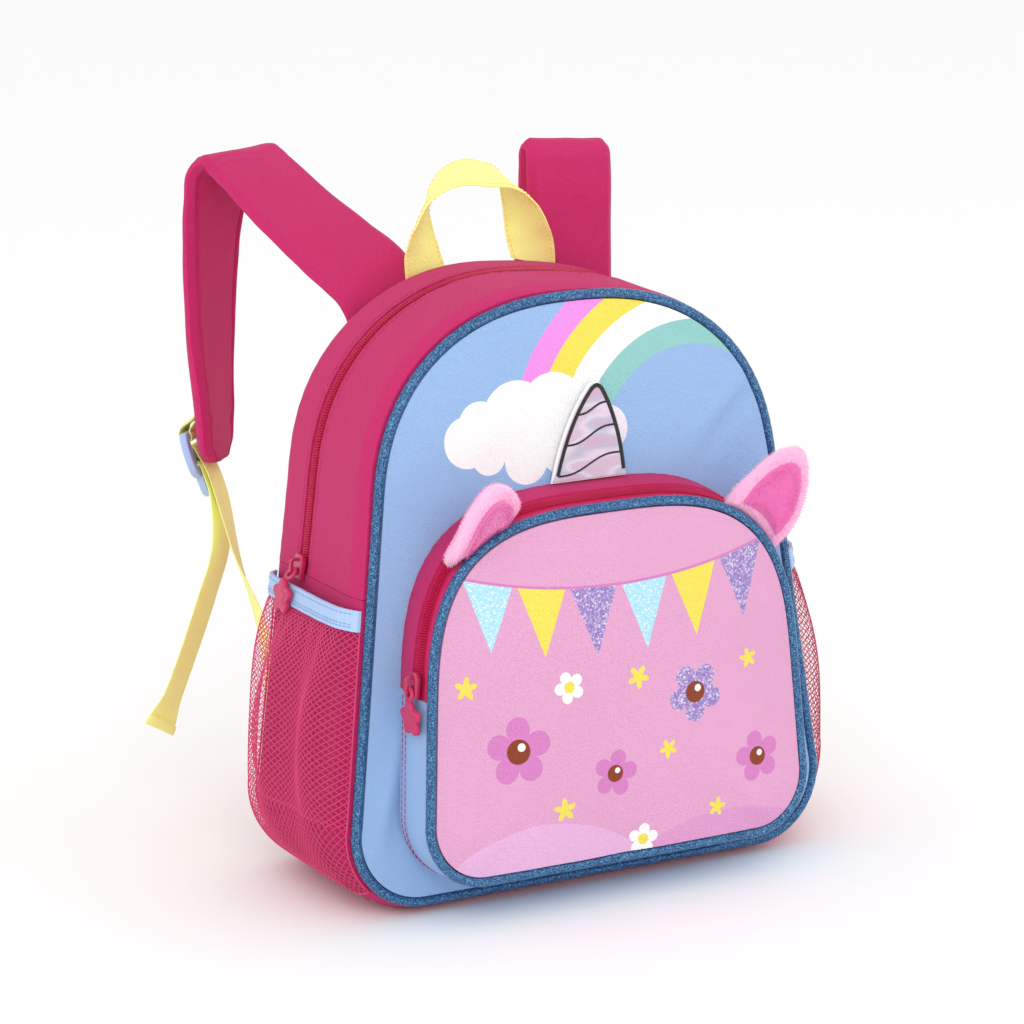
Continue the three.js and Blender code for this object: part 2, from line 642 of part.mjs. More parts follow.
// Buckle: a ladder lock with a top bar for the loop, a middle bar for the webbing, and a low bar with a tab.
const bodyHeight = BUCKLE_TOP_BAR + 2 * BUCKLE_BAR + 2 * BUCKLE_SLOT;
const topBar = (BUCKLE_TOP_BAR - bodyHeight) / 2 - 4;
const upperSlot = topBar + (BUCKLE_TOP_BAR + BUCKLE_SLOT) / 2;
const middleBar = upperSlot + (BUCKLE_SLOT + BUCKLE_BAR) / 2;
const lowerSlot = middleBar + (BUCKLE_BAR + BUCKLE_SLOT) / 2;
const lowerBar = lowerSlot + (BUCKLE_SLOT + BUCKLE_BAR) / 2;
function buckleGeometry() {
  const top = topBar - BUCKLE_TOP_BAR / 2;
  const low = lowerBar + BUCKLE_BAR / 2;
  const w = BUCKLE_WIDTH / 2;
  const tab = BUCKLE_TAB_WIDTH / 2;
  const frame = new THREE.Shape();
  frame.moveTo(-w * 0.72, top);
  frame.lineTo(w * 0.72, top);
  frame.bezierCurveTo(w * 0.95, top, w, top + 5, w, (top + low) / 2);
  frame.bezierCurveTo(w, low - 4, w * 0.9, low, tab, low);
  frame.lineTo(tab * 0.85, low + BUCKLE_TAB_LENGTH * 0.6);
  frame.bezierCurveTo(tab * 0.75, low + BUCKLE_TAB_LENGTH, -tab * 0.75, low + BUCKLE_TAB_LENGTH,
    -tab * 0.85, low + BUCKLE_TAB_LENGTH * 0.6);
  frame.lineTo(-tab, low);
  frame.bezierCurveTo(-w * 0.9, low, -w, low - 4, -w, (top + low) / 2);
  frame.bezierCurveTo(-w, top + 5, -w * 0.95, top, -w * 0.72, top);
  const half = WEBBING_WIDTH / 2 + 1;
  for (const slot of [upperSlot, lowerSlot]) {
    const hole = new THREE.Path();
    hole.moveTo(-half, slot - BUCKLE_SLOT / 2);
    hole.lineTo(-half, slot + BUCKLE_SLOT / 2);
    hole.lineTo(half, slot + BUCKLE_SLOT / 2);
    hole.lineTo(half, slot - BUCKLE_SLOT / 2);
    frame.holes.push(hole);
  }
  const solid = { depth: BUCKLE_THICKNESS, bevelEnabled: false, curveSegments: 5 };
  return new THREE.ExtrudeGeometry(frame, solid).translate(0, 0, -BUCKLE_THICKNESS / 2);
}

// Rows of [down, out] in a buckle's frame, straight across its width.
function buckleRows(frame, rows) {
  const right = new THREE.Vector3().setFromMatrixColumn(frame, 0);
  return rows.map(([down, out]) => ({
    at: new THREE.Vector3(0, down, out).applyMatrix4(frame),
    across: right.clone(),
  }));
}
const bandClear = SEAM_GAP + WEBBING / 2;
const bandFace = BUCKLE_THICKNESS / 2 + bandClear;

// The loop: sewn to the strap's outer face, round the top bar, and back onto itself.
function loopRoute(route, frame) {
  const length = route.centres.getLength();
  const onStrap = (up, lift) => {
    const { at, across, normal } = route.frameAt(1 - up / length);
    const sign = Math.sign(normal.y);
    return { at: at.addScaledVector(normal, sign * (STRAP_THICKNESS / 2 + bandClear + lift)), across };
  };
  const past = topBar + BUCKLE_TOP_BAR / 2 + bandClear;
  const sewnEnd = bodyHeight / 2 + 13;
  const around = buckleRows(frame, [
    [topBar - BUCKLE_TOP_BAR * 0.8, -bandFace],
    [topBar + 0.5, -bandFace],
    [past - 0.3, -bandFace * 0.8],
    [past, 0],
    [past - 0.3, bandFace * 0.8],
    [topBar + 0.5, bandFace],
    [topBar - BUCKLE_TOP_BAR * 0.8, bandFace * 0.95],
    [topBar - BUCKLE_TOP_BAR * 1.6, bandFace * 0.4],
  ]);
  const second = WEBBING + SEAM_GAP;
  return new BandRoute([
    onStrap(sewnEnd + LOOP_SEWN_LENGTH, 0.5),
    onStrap(sewnEnd + LOOP_SEWN_LENGTH / 2, 0.5),
    onStrap(sewnEnd, 0.5),
    ...around,
    onStrap(sewnEnd, second + 0.5),
    onStrap(sewnEnd + LOOP_SEWN_LENGTH / 2, second + 0.5),
    onStrap(sewnEnd + LOOP_SEWN_LENGTH, second + 0.5),
  ]);
}

// The free tail below each buckle. Columns: side, back and down are shares of its length from the tab.
const LEFT_TAIL_ROUTE = [
  { side: 0.006, back: -0.03, down: 0.2, yaw: 38, tilt: 0 },
  { side: -0.075, back: -0.045, down: 0.43, yaw: 35, tilt: 3 },
  { side: -0.24, back: -0.08, down: 0.79, yaw: 34, tilt: 3 },
  { side: -0.32, back: -0.1, down: 0.93, yaw: 14, tilt: -4 },
];
const RIGHT_TAIL_ROUTE = [
  { side: 0, back: -0.03, down: 0.2, yaw: -8, tilt: 0 },
  { side: 0.01, back: -0.03, down: 0.45, yaw: -6, tilt: 0 },
  { side: 0.02, back: -0.01, down: 0.7, yaw: -4, tilt: 0 },
  { side: 0.02, back: 0, down: 0.96, yaw: -4, tilt: 0 },
];
// The webbing between a buckle and the bag. Columns: share of the way to the seam, how far it lies nearer
// the bag and its middle as shares of that way, and the direction of its width.
const LEFT_WEBBING_ROUTE = [
  { share: 0.25, near: 0.06, in: 0.01, yaw: 51, tilt: -33 },
  { share: 0.5, near: 0.12, in: 0.04, yaw: 79, tilt: -41 },
  { share: 0.75, near: 0.1, in: 0.045, yaw: 92, tilt: -42 },
];
const RIGHT_WEBBING_ROUTE = [
  { share: 0.25, near: 0, in: 0, yaw: -25, tilt: 5 },
  { share: 0.5, near: 0, in: 0, yaw: -40, tilt: 20 },
  { share: 0.75, near: 0, in: 0, yaw: -60, tilt: 50 },
];
function webbingRoute(side, frame, tailRows, rows) {
  const tabEnd = lowerBar + BUCKLE_BAR / 2 + BUCKLE_TAB_LENGTH;
  const [hang] = buckleRows(frame, [[tabEnd, -bandFace]]);
  const tail = tailRows.toReversed().map((row) => ({
    at: hang.at.clone().add(new THREE.Vector3(row.side, row.back, -row.down).multiplyScalar(TAIL_LENGTH)),
    across: widthDirection(row.yaw, row.tilt),
  }));
  const above = middleBar - BUCKLE_BAR / 2 - bandClear;
  const behind = -bandFace - WEBBING - SEAM_GAP;
  const lock = buckleRows(frame, [
    [tabEnd - 1, -bandFace],
    [lowerBar + BUCKLE_BAR / 2, -bandFace],
    [lowerBar - BUCKLE_BAR * 0.3, -bandFace],
    [lowerSlot + 1, -bandFace * 0.7],
    [lowerSlot, 0],
    [lowerSlot - 1, bandFace * 0.8],
    [middleBar + BUCKLE_BAR * 0.2, bandFace],
    [middleBar - BUCKLE_BAR * 0.3, bandFace],
    [above + 0.3, bandFace * 0.8],
    [above, 0],
    [above + 0.3, -bandFace * 0.8],
    [middleBar - BUCKLE_BAR * 0.2, -bandFace],
    [lowerSlot - 1, behind * 0.85],
    [lowerBar, behind - 0.4],
    [lowerBar + BUCKLE_TAB_LENGTH * 0.7, behind - 1],
  ]);
  const lie = REAR_Y + BACK_PAD / 2 + WEBBING / 2 + 3;
  const edge = body.halfAt(WEBBING_ANCHOR_HEIGHT);
  const anchor = new THREE.Vector3(side * (edge - WEBBING_ANCHOR_INSET), lie + 0.5, WEBBING_ANCHOR_HEIGHT);
  const atSeam = new THREE.Vector3(side * (edge - 1), lie + 2, WEBBING_ANCHOR_HEIGHT + 4);
  const leave = lock.at(-1).at;
  const way = leave.distanceTo(atSeam);
  const drop = rows.map((row) => ({
    at: leave.clone().lerp(atSeam, row.share).addScaledVector(new THREE.Vector3(-side * row.in, -row.near, 0), way),
    across: widthDirection(row.yaw, row.tilt),
  }));
  const last = new THREE.Vector3(0, 0, side);
  const sewn = [atSeam, anchor].map((at) => ({ at, across: last }));
  return new BandRoute([...tail, ...lock, ...drop, ...sewn]);
}

for (const [word, side, rows, tailRows, webbingRows] of [
  ["left", -1, LEFT_STRAP_ROUTE, LEFT_TAIL_ROUTE, LEFT_WEBBING_ROUTE],
  ["right", 1, RIGHT_STRAP_ROUTE, RIGHT_TAIL_ROUTE, RIGHT_WEBBING_ROUTE],
]) {
  const route = strapRoute(side, rows);
  const frame = buckleFrame(route);
  add(`shoulder_strap_${word}`, "magenta", band(route, 32, 4, strapWidth, STRAP_THICKNESS, 0.45));
  add(`buckle_${word}`, "buckle", buckleGeometry().applyMatrix4(frame), bag, 0.4);
  const narrow = () => WEBBING_WIDTH;
  add(`buckle_loop_${word}`, "yellow", band(loopRoute(route, frame), 36, 1, narrow, WEBBING, 1));
  const webbing = webbingRoute(side, frame, tailRows, webbingRows);
  add(`webbing_${word}`, "yellow", band(webbing, 60, 1, narrow, WEBBING, 1));
}

// Horn: a stiff backing with a shiny face in front. It stands on the pocket's rear seam, before the panel,
// and its base is cut level.
function hornShape() {
  const w = HORN_WIDTH / 2;
  const slant = w * Math.tan(THREE.MathUtils.degToRad(HORN_LEAN));
  const shape = new THREE.Shape();
  shape.moveTo(-w, -slant);
  shape.lineTo(w, slant);
  shape.quadraticCurveTo(w * 0.78, HORN_HEIGHT * 0.6, w * 0.18, HORN_HEIGHT * 0.96);
  shape.quadraticCurveTo(0, HORN_HEIGHT * 1.04, -w * 0.18, HORN_HEIGHT * 0.96);
  shape.quadraticCurveTo(-w * 0.78, HORN_HEIGHT * 0.6, -w, -slant);
  return shape;
}
const hornBase = pocket.top + POCKET_REAR_RISE + POCKET_REAR_SPREAD + CLOTH / 2 + POCKET_BULGE / 2;
const hornY = frontPanelY(HORN_X, hornBase + HORN_HEIGHT * 0.4) - CLOTH / 2 - HORN_CLEARANCE;
const horn = new THREE.Group();
horn.position.set(HORN_X, hornY, hornBase);
horn.rotation.set(Math.PI / 2 - Math.atan(BODY_LEAN / BODY_HEIGHT), 0, -THREE.MathUtils.degToRad(HORN_LEAN));
horn.rotation.order = "XZY";
bag.add(horn);
for (const [name, colour, from, depth] of [
  ["horn_backing", "white", 0, HORN_BACKING],
  ["horn_face", "horn", HORN_BACKING + SEAM_GAP, HORN_FACE],
]) {
  const solid = { depth, bevelEnabled: false, curveSegments: 6 };
  const geometry = new THREE.ExtrudeGeometry(hornShape(), solid).translate(0, 0, from);
  add(name, colour, geometry, horn, 0.4);
}

// Ears: a plush cushion and a flat lining on its front. Each is sewn along the back of the pocket's piping.
const earOutline = new THREE.Shape();
earOutline.moveTo(-EAR_WIDTH / 2, -EAR_BASE_ARCH);
earOutline.quadraticCurveTo(0, EAR_BASE_ARCH, EAR_WIDTH / 2, -EAR_BASE_ARCH);
earOutline.bezierCurveTo(EAR_WIDTH * 0.62, EAR_LENGTH * 0.5, EAR_WIDTH * 0.22, EAR_LENGTH, 0, EAR_LENGTH);
earOutline.bezierCurveTo(
  -EAR_WIDTH * 0.22, EAR_LENGTH, -EAR_WIDTH * 0.62, EAR_LENGTH * 0.5, -EAR_WIDTH / 2, -EAR_BASE_ARCH);
const EAR_STEPS = 22;
const earEdge = earOutline.getSpacedPoints(EAR_STEPS);
const earMiddle = EAR_LENGTH * 0.42;
const earHalf = (r) => EAR_EDGE / 2 + ((EAR_THICKNESS - EAR_EDGE) / 2) * Math.sqrt(Math.max(0, 1 - r ** 3));
function earPoint(u, r, out) {
  const edge = earEdge[Math.round(u * EAR_STEPS) % EAR_STEPS];
  const x = edge.x * r;
  const y = earMiddle + (edge.y - earMiddle) * r;
  const cup = EAR_CUP * ((2 * x) / EAR_WIDTH) ** 2 * THREE.MathUtils.clamp(y / earMiddle, 0, 1);
  return new THREE.Vector3(x, y, out + cup);
}
const earBody = (u, r, side) => earPoint(u, r, side ? -earHalf(r) : earHalf(r));
const earLining = (u, r, side) => {
  const share = r * EAR_LINING_SHARE;
  const thick = EAR_LINING * (1 - 0.6 * r ** 4);
  return earPoint(u, share, earHalf(share) + SEAM_GAP + (side ? 0 : thick));
};
// Columns: how far the seam's middle is below the pocket's top, how far the ear is lifted off it, how far it nods to the front in
// degrees, and how far its tip leans towards the middle of the bag as a share of its length.
const EARS = [
  { word: "left", side: -1, drop: 11, lift: 2.6, nod: 44, lean: 0.18 },
  { word: "right", side: 1, drop: 20, lift: 1.6, nod: 10, lean: 0.18 },
];
for (const { word, side, drop, lift, nod, lean } of EARS) {
  const share = pocket.shareAtHeight(pocket.top - drop);
  const seam = pocket.offsetPoint(share, CLOTH / 2 + SEAM_GAP + lift);
  const outward = pocket.offsetPoint(share, 1).sub(pocket.offsetPoint(share, 0));
  const a = THREE.MathUtils.degToRad(nod);
  const up = new THREE.Vector3(side * outward.x * Math.cos(a), -Math.sin(a), outward.z * Math.cos(a));
  const across = new THREE.Vector3(outward.z, 0, -side * outward.x);
  const ear = new THREE.Group();
  const facing = new THREE.Vector3().crossVectors(across, up);
  ear.applyMatrix4(new THREE.Matrix4().makeBasis(across, up, facing));
  const behindPiping = pocketSeamY(seam.z) + PIPING_RADIUS + SEAM_GAP + EAR_EDGE / 2 + 0.6;
  ear.position.set(side * seam.x, behindPiping, seam.z);
  bag.add(ear);
  const leaning = (build) => (u, r, face) => {
    const p = build(u, r, face);
    return p.setX(p.x - side * lean * p.y);
  };
  add(`ear_${word}`, "plush", plate(EAR_STEPS, [0.5, 0.85, 1], leaning(earBody)), ear, 1);
  add(`ear_lining_${word}`, "plushInner", plate(EAR_STEPS, [0.6, 1], leaning(earLining)), ear, 1);
}

function unite(parts) {
  const solids = parts.map((geometry) => {
    const points = [];
    const seen = new Map();
    const at = geometry.attributes.position;
    const order = geometry.index ? [...geometry.index.array] : [...Array(at.count).keys()];
    const triVerts = order.map((i) => {
      const p = new THREE.Vector3().fromBufferAttribute(at, i);
      const key = p.toArray().map((value) => Math.round(value * 1000)).join();
      if (!seen.has(key)) {
        seen.set(key, points.length / 3);
        points.push(...p.toArray());
      }
      return seen.get(key);
    });
    const vertProperties = new Float32Array(points);
    const mesh = new manifold.Mesh({ numProp: 3, vertProperties, triVerts: new Uint32Array(triVerts) });
    return new manifold.Manifold(mesh);
  });
  const { vertProperties, triVerts } = manifold.Manifold.union(solids).getMesh();
  const geometry = new THREE.BufferGeometry();
  geometry.setAttribute("position", new THREE.BufferAttribute(vertProperties, 3));
  geometry.setIndex([...triVerts]);
  geometry.computeVertexNormals();
  return geometry;
}
// A shape extruded to a thickness from a height.
function slab(shape, from, thickness) {
  const solid = { depth: thickness, bevelEnabled: false, curveSegments: 4 };
  return new THREE.ExtrudeGeometry(shape, solid).translate(0, 0, from);
}

// A zip slider in its own frame: x across the zip, y down along it, z out. Its bridge stands on top.
function sliderGeometry() {
  const w = SLIDER_WIDTH / 2;
  const l = SLIDER_LENGTH / 2;
  const plan = new THREE.Shape();
  plan.moveTo(-w * 0.6, -l);
  plan.lineTo(w * 0.6, -l);
  plan.lineTo(w, -l * 0.5);
  plan.lineTo(w * 0.75, l);
  plan.lineTo(-w * 0.75, l);
  plan.lineTo(-w, -l * 0.5);
  const side = new THREE.Shape();
  const half = BRIDGE_LENGTH / 2;
  side.moveTo(-half, -0.5);
  side.lineTo(-half, BRIDGE_HEIGHT * 0.6);
  side.lineTo(-half + BRIDGE_WIRE, BRIDGE_HEIGHT);
  side.lineTo(half - BRIDGE_WIRE, BRIDGE_HEIGHT);
  side.lineTo(half, BRIDGE_HEIGHT * 0.6);
  side.lineTo(half, -0.5);
  side.lineTo(half - BRIDGE_WIRE, -0.5);
  side.lineTo(half - BRIDGE_WIRE, BRIDGE_HEIGHT - BRIDGE_WIRE);
  side.lineTo(-half + BRIDGE_WIRE, BRIDGE_HEIGHT - BRIDGE_WIRE);
  side.lineTo(-half + BRIDGE_WIRE, -0.5);
  const bridge = slab(side, -BRIDGE_WIDTH / 2, BRIDGE_WIDTH);
  bridge.rotateX(Math.PI / 2).rotateZ(Math.PI / 2).translate(0, 0, SLIDER_HEIGHT);
  return unite([slab(plan, 0, SLIDER_HEIGHT), bridge]);
}

// A pull: a ring whose rim sits in the bridge, a neck, and a flower that hangs at an angle to them.
function pullGeometry(bend) {
  const rim = (PULL_RING_RADIUS + PULL_HOLE_RADIUS) / 2;
  const ring = new THREE.Shape().absarc(0, rim, PULL_RING_RADIUS, 0, 2 * Math.PI);
  ring.holes.push(new THREE.Path().absarc(0, rim, PULL_HOLE_RADIUS, 0, 2 * Math.PI, true));
  const neckStart = rim + PULL_HOLE_RADIUS + 0.5;
  const neckEnd = rim + PULL_RING_RADIUS + PULL_NECK;
  const neck = new THREE.Shape();
  neck.moveTo(-1.4, neckStart);
  neck.lineTo(1.4, neckStart);
  neck.lineTo(1.4, neckEnd);
  neck.lineTo(-1.4, neckEnd);
  const flower = new THREE.Shape();
  for (let i = 0; i < CHARM_PETALS * 4; i++) {
    const a = (2 * Math.PI * i) / (CHARM_PETALS * 4);
    const r = CHARM_RADIUS * (0.82 + 0.18 * Math.cos(CHARM_PETALS * (a + Math.PI / 2)));
    flower[i ? "lineTo" : "moveTo"](r * Math.cos(a), CHARM_RADIUS * 0.8 + r * Math.sin(a));
  }
  const charm = slab(flower, -CHARM_THICKNESS / 2, CHARM_THICKNESS)
    .rotateX(THREE.MathUtils.degToRad(bend))
    .translate(0, neckEnd - 0.6, 0);
  return unite([
    slab(ring, -PULL_THICKNESS / 2, PULL_THICKNESS),
    slab(neck, -PULL_THICKNESS / 2, PULL_THICKNESS),
    charm,
  ]);
}

// A slider on a zip, and its pull through the bridge. The pull stands out by its tilt.
function zipHead(name, point, share, step, tilt, bend) {
  const at = point(share);
  const down = point(share + step).sub(at).normalize();
  const across = new THREE.Vector3(0, 1, 0);
  across.addScaledVector(down, -across.dot(down)).normalize();
  const out = new THREE.Vector3().crossVectors(across, down);
  const head = new THREE.Group();
  head.applyMatrix4(new THREE.Matrix4().makeBasis(across, down, out).setPosition(at));
  bag.add(head);
  add(`${name}_slider`, "zip", sliderGeometry(), head, 0.5);
  const pull = new THREE.Group();
  const leg = BRIDGE_LENGTH / 2 - BRIDGE_WIRE;
  const inBridge = SLIDER_HEIGHT + (BRIDGE_HEIGHT - BRIDGE_WIRE) / 2;
  pull.position.set(0, leg - SEAM_GAP - PULL_THICKNESS * 0.75, inBridge);
  pull.rotation.x = THREE.MathUtils.degToRad(tilt);
  head.add(pull);
  add(`${name}_pull`, "zip", pullGeometry(bend), pull, 0.5);
}
const headOut = ZIP_COIL_HEIGHT + SEAM_GAP;
zipHead("main_zip", (share) => gussetPoint(share, 0.5, ZIP_RECESS - headOut, zipFrontY, zipRearY),
  1 - body.shareAtHeight(zipSeamHeight + MAIN_SLIDER_RISE), 0.004, 36, -36);
const pocketZipMiddle = (pocketZipStart + pocketZipEnd) / 2;
zipHead("pocket_zip", (share) => pocketPoint(share, pocketZipMiddle, ZIP_RECESS - headOut),
  1 - pocket.shareAtHeight(POCKET_SEAM_HEIGHT + POCKET_SLIDER_RISE), 0.006, -4, -4);

export default bag;
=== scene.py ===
"""The looks of a small child's backpack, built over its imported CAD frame.

Lengths are in millimetres until a mesh is made.
"""
import logging
import math
from dataclasses import dataclass
from enum import Enum
from typing import Callable, Sequence

import bpy
import numpy as np
from mathutils import Matrix, Vector


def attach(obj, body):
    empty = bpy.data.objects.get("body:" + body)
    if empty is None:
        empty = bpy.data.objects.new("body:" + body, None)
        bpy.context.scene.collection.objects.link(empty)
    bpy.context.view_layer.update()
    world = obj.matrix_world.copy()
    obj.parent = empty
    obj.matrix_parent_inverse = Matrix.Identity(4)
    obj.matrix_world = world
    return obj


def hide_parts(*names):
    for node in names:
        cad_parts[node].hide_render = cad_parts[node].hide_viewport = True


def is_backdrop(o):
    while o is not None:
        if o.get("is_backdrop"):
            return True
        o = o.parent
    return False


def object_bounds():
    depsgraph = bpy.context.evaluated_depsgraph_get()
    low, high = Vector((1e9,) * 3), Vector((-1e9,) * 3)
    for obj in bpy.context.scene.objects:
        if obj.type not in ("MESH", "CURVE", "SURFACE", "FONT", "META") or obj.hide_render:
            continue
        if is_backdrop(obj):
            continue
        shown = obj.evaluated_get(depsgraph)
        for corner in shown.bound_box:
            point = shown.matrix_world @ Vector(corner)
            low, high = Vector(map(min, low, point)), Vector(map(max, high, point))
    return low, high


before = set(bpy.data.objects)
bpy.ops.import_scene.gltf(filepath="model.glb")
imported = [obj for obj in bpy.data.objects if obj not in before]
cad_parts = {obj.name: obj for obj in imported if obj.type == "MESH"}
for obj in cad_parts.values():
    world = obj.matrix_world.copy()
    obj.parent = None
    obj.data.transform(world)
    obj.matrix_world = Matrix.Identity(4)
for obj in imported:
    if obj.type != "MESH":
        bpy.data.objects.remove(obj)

LOG = logging.getLogger("backpack")
MM = 0.001
GAP = 0.3
SIDE_WORD = {-1: "left", 1: "right"}
Array = np.ndarray


# Numbers and curves.


def lerp(a, b, t):
    """The value a share t of the way from a to b."""
    return a + (b - a) * t


def unit(v: Array) -> Array:
    """Vectors scaled to length one along their last axis."""
    return v / np.maximum(np.linalg.norm(v, axis=-1, keepdims=True), 1e-12)


def bell(x: Array, centre: float, width: float) -> Array:
    """exp(-((x - centre) / width)^2)."""
    return np.exp(-(((x - centre) / width) ** 2))


def smooth(x: Array, low: float, high: float) -> Array:
    """0 below low, 1 above high, and 3t^2 - 2t^3 between."""
    t = np.clip((x - low) / (high - low), 0, 1)
    return t * t * (3 - 2 * t)


def ripple(a: Array, b: Array, seed: int, wave: float, terms: int = 7) -> Array:
    """Smooth noise in -1 to 1: a sum of sines of a and b with seeded directions, near a wavelength."""
    rng = np.random.default_rng(seed)
    total = np.zeros(np.broadcast(a, b).shape)
    for _ in range(terms):
        angle, phase = rng.uniform(0, 2 * math.pi, 2)
        length = wave * rng.uniform(0.7, 1.6)
        total += np.sin(2 * math.pi * (a * math.cos(angle) + b * math.sin(angle)) / length + phase)
    return total / terms * 1.6


def width_direction(yaw: float, tilt: float) -> Array:
    """The direction of a band's width: yaw turns it from +X towards +Y, tilt lifts its far end (degrees)."""
    a, e = math.radians(yaw), math.radians(tilt)
    return np.array([math.cos(a) * math.cos(e), math.sin(a) * math.cos(e), math.sin(e)])


class Spline:
    """A curve through points, as x0 + c1 t + c2 t^2 + c3 t^3 on each span."""

    def __init__(self, points: Sequence[Array], tension: float | None = None):
        """Args: points: what it passes through. tension: None for a centripetal curve."""
        p = np.asarray(points, float)
        p = np.vstack([2 * p[0] - p[1], p, 2 * p[-1] - p[-2]])
        p0, p1, p2, p3 = p[:-3], p[1:-2], p[2:-1], p[3:]
        if tension is None:
            d0, d1, d2 = (
                np.linalg.norm(b - a, axis=1, keepdims=True) ** 0.5 for a, b in ((p0, p1), (p1, p2), (p2, p3))
            )
            t0 = ((p1 - p0) / d0 - (p2 - p0) / (d0 + d1) + (p2 - p1) / d1) * d1
            t1 = ((p2 - p1) / d1 - (p3 - p1) / (d1 + d2) + (p3 - p2) / d2) * d1
        else:
            t0, t1 = tension * (p2 - p0), tension * (p3 - p1)
        self.start, self.c1 = p1, t0
        self.c2, self.c3 = 3 * (p2 - p1) - 2 * t0 - t1, 2 * (p1 - p2) + t0 + t1

    def at(self, t: Array) -> Array:
        """Points at parameters t from 0 to 1."""
        span = np.clip(np.asarray(t, float), 0, 1) * len(self.start)
        i = np.minimum(span.astype(int), len(self.start) - 1)
        w = (span - i)[..., None]
        return self.start[i] + w * (self.c1[i] + w * (self.c2[i] + w * self.c3[i]))

    def tangent(self, t: Array) -> Array:
        """Unit tangents at parameters t."""
        return unit(self.at(t + 1e-4) - self.at(t - 1e-4))

    def by_length(self, count: int) -> Array:
        """count parameters at even steps of the curve's length."""
        t = np.linspace(0, 1, 1500)
        step = np.linalg.norm(np.diff(self.at(t), axis=0), axis=1)
        length = np.concatenate([[0], np.cumsum(step)])
        return np.interp(np.linspace(0, length[-1], count), length, t)

    def length(self) -> float:
        """The curve's length."""
        return float(np.linalg.norm(np.diff(self.at(np.linspace(0, 1, 1500)), axis=0), axis=1).sum())


@dataclass(frozen=True)
class Frames:
    """Points of a band's centreline with the directions along it, across its width, and out of its face."""

    at: Array
    along: Array
    across: Array
    normal: Array


class BandRoute:
    """A band's centreline and width direction."""

    def __init__(self, centres: Sequence[Array], widths: Sequence[Array], square: bool = True):
        """Args: centres, widths: one of each for every row. square: keep the width square to the line."""
        self.centres, self.widths, self.square = Spline(centres), Spline(widths, 0.3), square

    def frames(self, t: Array) -> Frames:
        """Frames at parameters t."""
        t = np.atleast_1d(np.asarray(t, float))
        along, across = self.centres.tangent(t), self.widths.at(t)
        if self.square:
            across = across - along * np.sum(across * along, axis=-1, keepdims=True)
        across = unit(across)
        return Frames(self.centres.at(t), along, across, unit(np.cross(along, across)))

    def from_end(self, up: float) -> Frames:
        """The frame a distance up from the lower end, along the line."""
        share = 1 - up / self.centres.length()
        return self.frames(np.interp(share, np.linspace(0, 1, 400), self.centres.by_length(400)))


class ArchOutline:
    """A panel's outline in the XZ plane: a flat base, round corners, sides that lean in, and an arch."""

    def __init__(self, half_width, taper, height, shoulder, corner, power, base):
        """Args: the outline's sizes, as in the CAD."""
        self.half_width, self.taper, self.height, self.shoulder = half_width, taper, height, shoulder
        self.corner, self.power, self.base = corner, power, base
        self.top, self.middle = base + height, base + height / 2
        lean, flat = math.atan(taper), half_width - corner
        a = np.linspace(-math.pi / 2, lean, 120)
        start = base + corner * (1 + math.sin(lean))
        side = np.linspace(start, base + shoulder, 200)[1:]
        arch = (
            base + shoulder
            + (height - shoulder) * np.sin(np.linspace(0, math.pi / 2, 700)[1:]) ** (2 / power)
        )
        z = np.concatenate([[base], base + corner * (1 + np.sin(a)), side, arch])
        x = np.concatenate([[0], flat + corner * np.cos(a), self.half_at(side), self.half_at(arch)])
        self.half = np.column_stack([x, z])
        whole = np.vstack([self.half, self.half[-2::-1] * [-1, 1]])
        step = np.linalg.norm(np.diff(whole, axis=0), axis=1)
        self.length = float(step.sum())
        self.shares, self.points = np.concatenate([[0], np.cumsum(step)]) / self.length, whole
        angle = np.arctan2(self.half[:, 0], self.middle - self.half[:, 1])
        self.angles, self.radii = angle, np.hypot(self.half[:, 0], self.half[:, 1] - self.middle)

    def half_at(self, z: Array) -> Array:
        """Half the outline's width at a height above its lower corners."""
        rise = np.maximum(0, (z - self.base - self.shoulder) / (self.height - self.shoulder))
        straight = self.half_width - self.taper * (z - self.base - self.corner)
        return straight * np.maximum(0, 1 - rise**self.power) ** (1 / self.power)

    def at(self, share: Array) -> Array:
        """Points (x, z) at shares of the whole length, from the middle of the base up the +X side."""
        s = np.mod(share, 1)
        return np.stack([np.interp(s, self.shares, self.points[:, i]) for i in (0, 1)], axis=-1)

    def offset(self, share: Array, out: Array) -> Array:
        """Points of the outline moved out along its normal."""
        t = unit(self.at(share + 0.002) - self.at(share - 0.002))
        normal = np.stack([t[..., 1], -t[..., 0]], axis=-1)
        return self.at(share) + normal * np.asarray(out)[..., None]

    def share_at(self, height: float) -> float:
        """The share at which the +X side reaches a height."""
        first = int(np.argmax(self.half[:, 1] > self.base + 0.5))
        return float(np.interp(height, self.half[first:, 1], self.shares[first : len(self.half)]))

    def dome(self, x: Array, z: Array) -> Array:
        """1 - r^2, where r is the share of the way from the middle to the edge."""
        radius = np.interp(np.arctan2(np.abs(x), self.middle - z), self.angles, self.radii)
        return np.maximum(0, 1 - (np.hypot(x, z - self.middle) / radius) ** 2)


# Meshes.


@dataclass
class Surface:
    """Points in millimetres, quads, and a flat coordinate in millimetres for every point."""

    points: Array
    quads: Array
    flat: Array

    def joined(self, other: "Surface") -> "Surface":
        """Both surfaces as one."""
        return Surface(
            np.vstack([self.points, other.points]),
            np.vstack([self.quads, other.quads + len(self.points)]),
            np.vstack([self.flat, other.flat]),
        )


def together(surfaces: Sequence[Surface]) -> Surface:
    """Surfaces as one."""
    whole = surfaces[0]
    for other in surfaces[1:]:
        whole = whole.joined(other)
    return whole


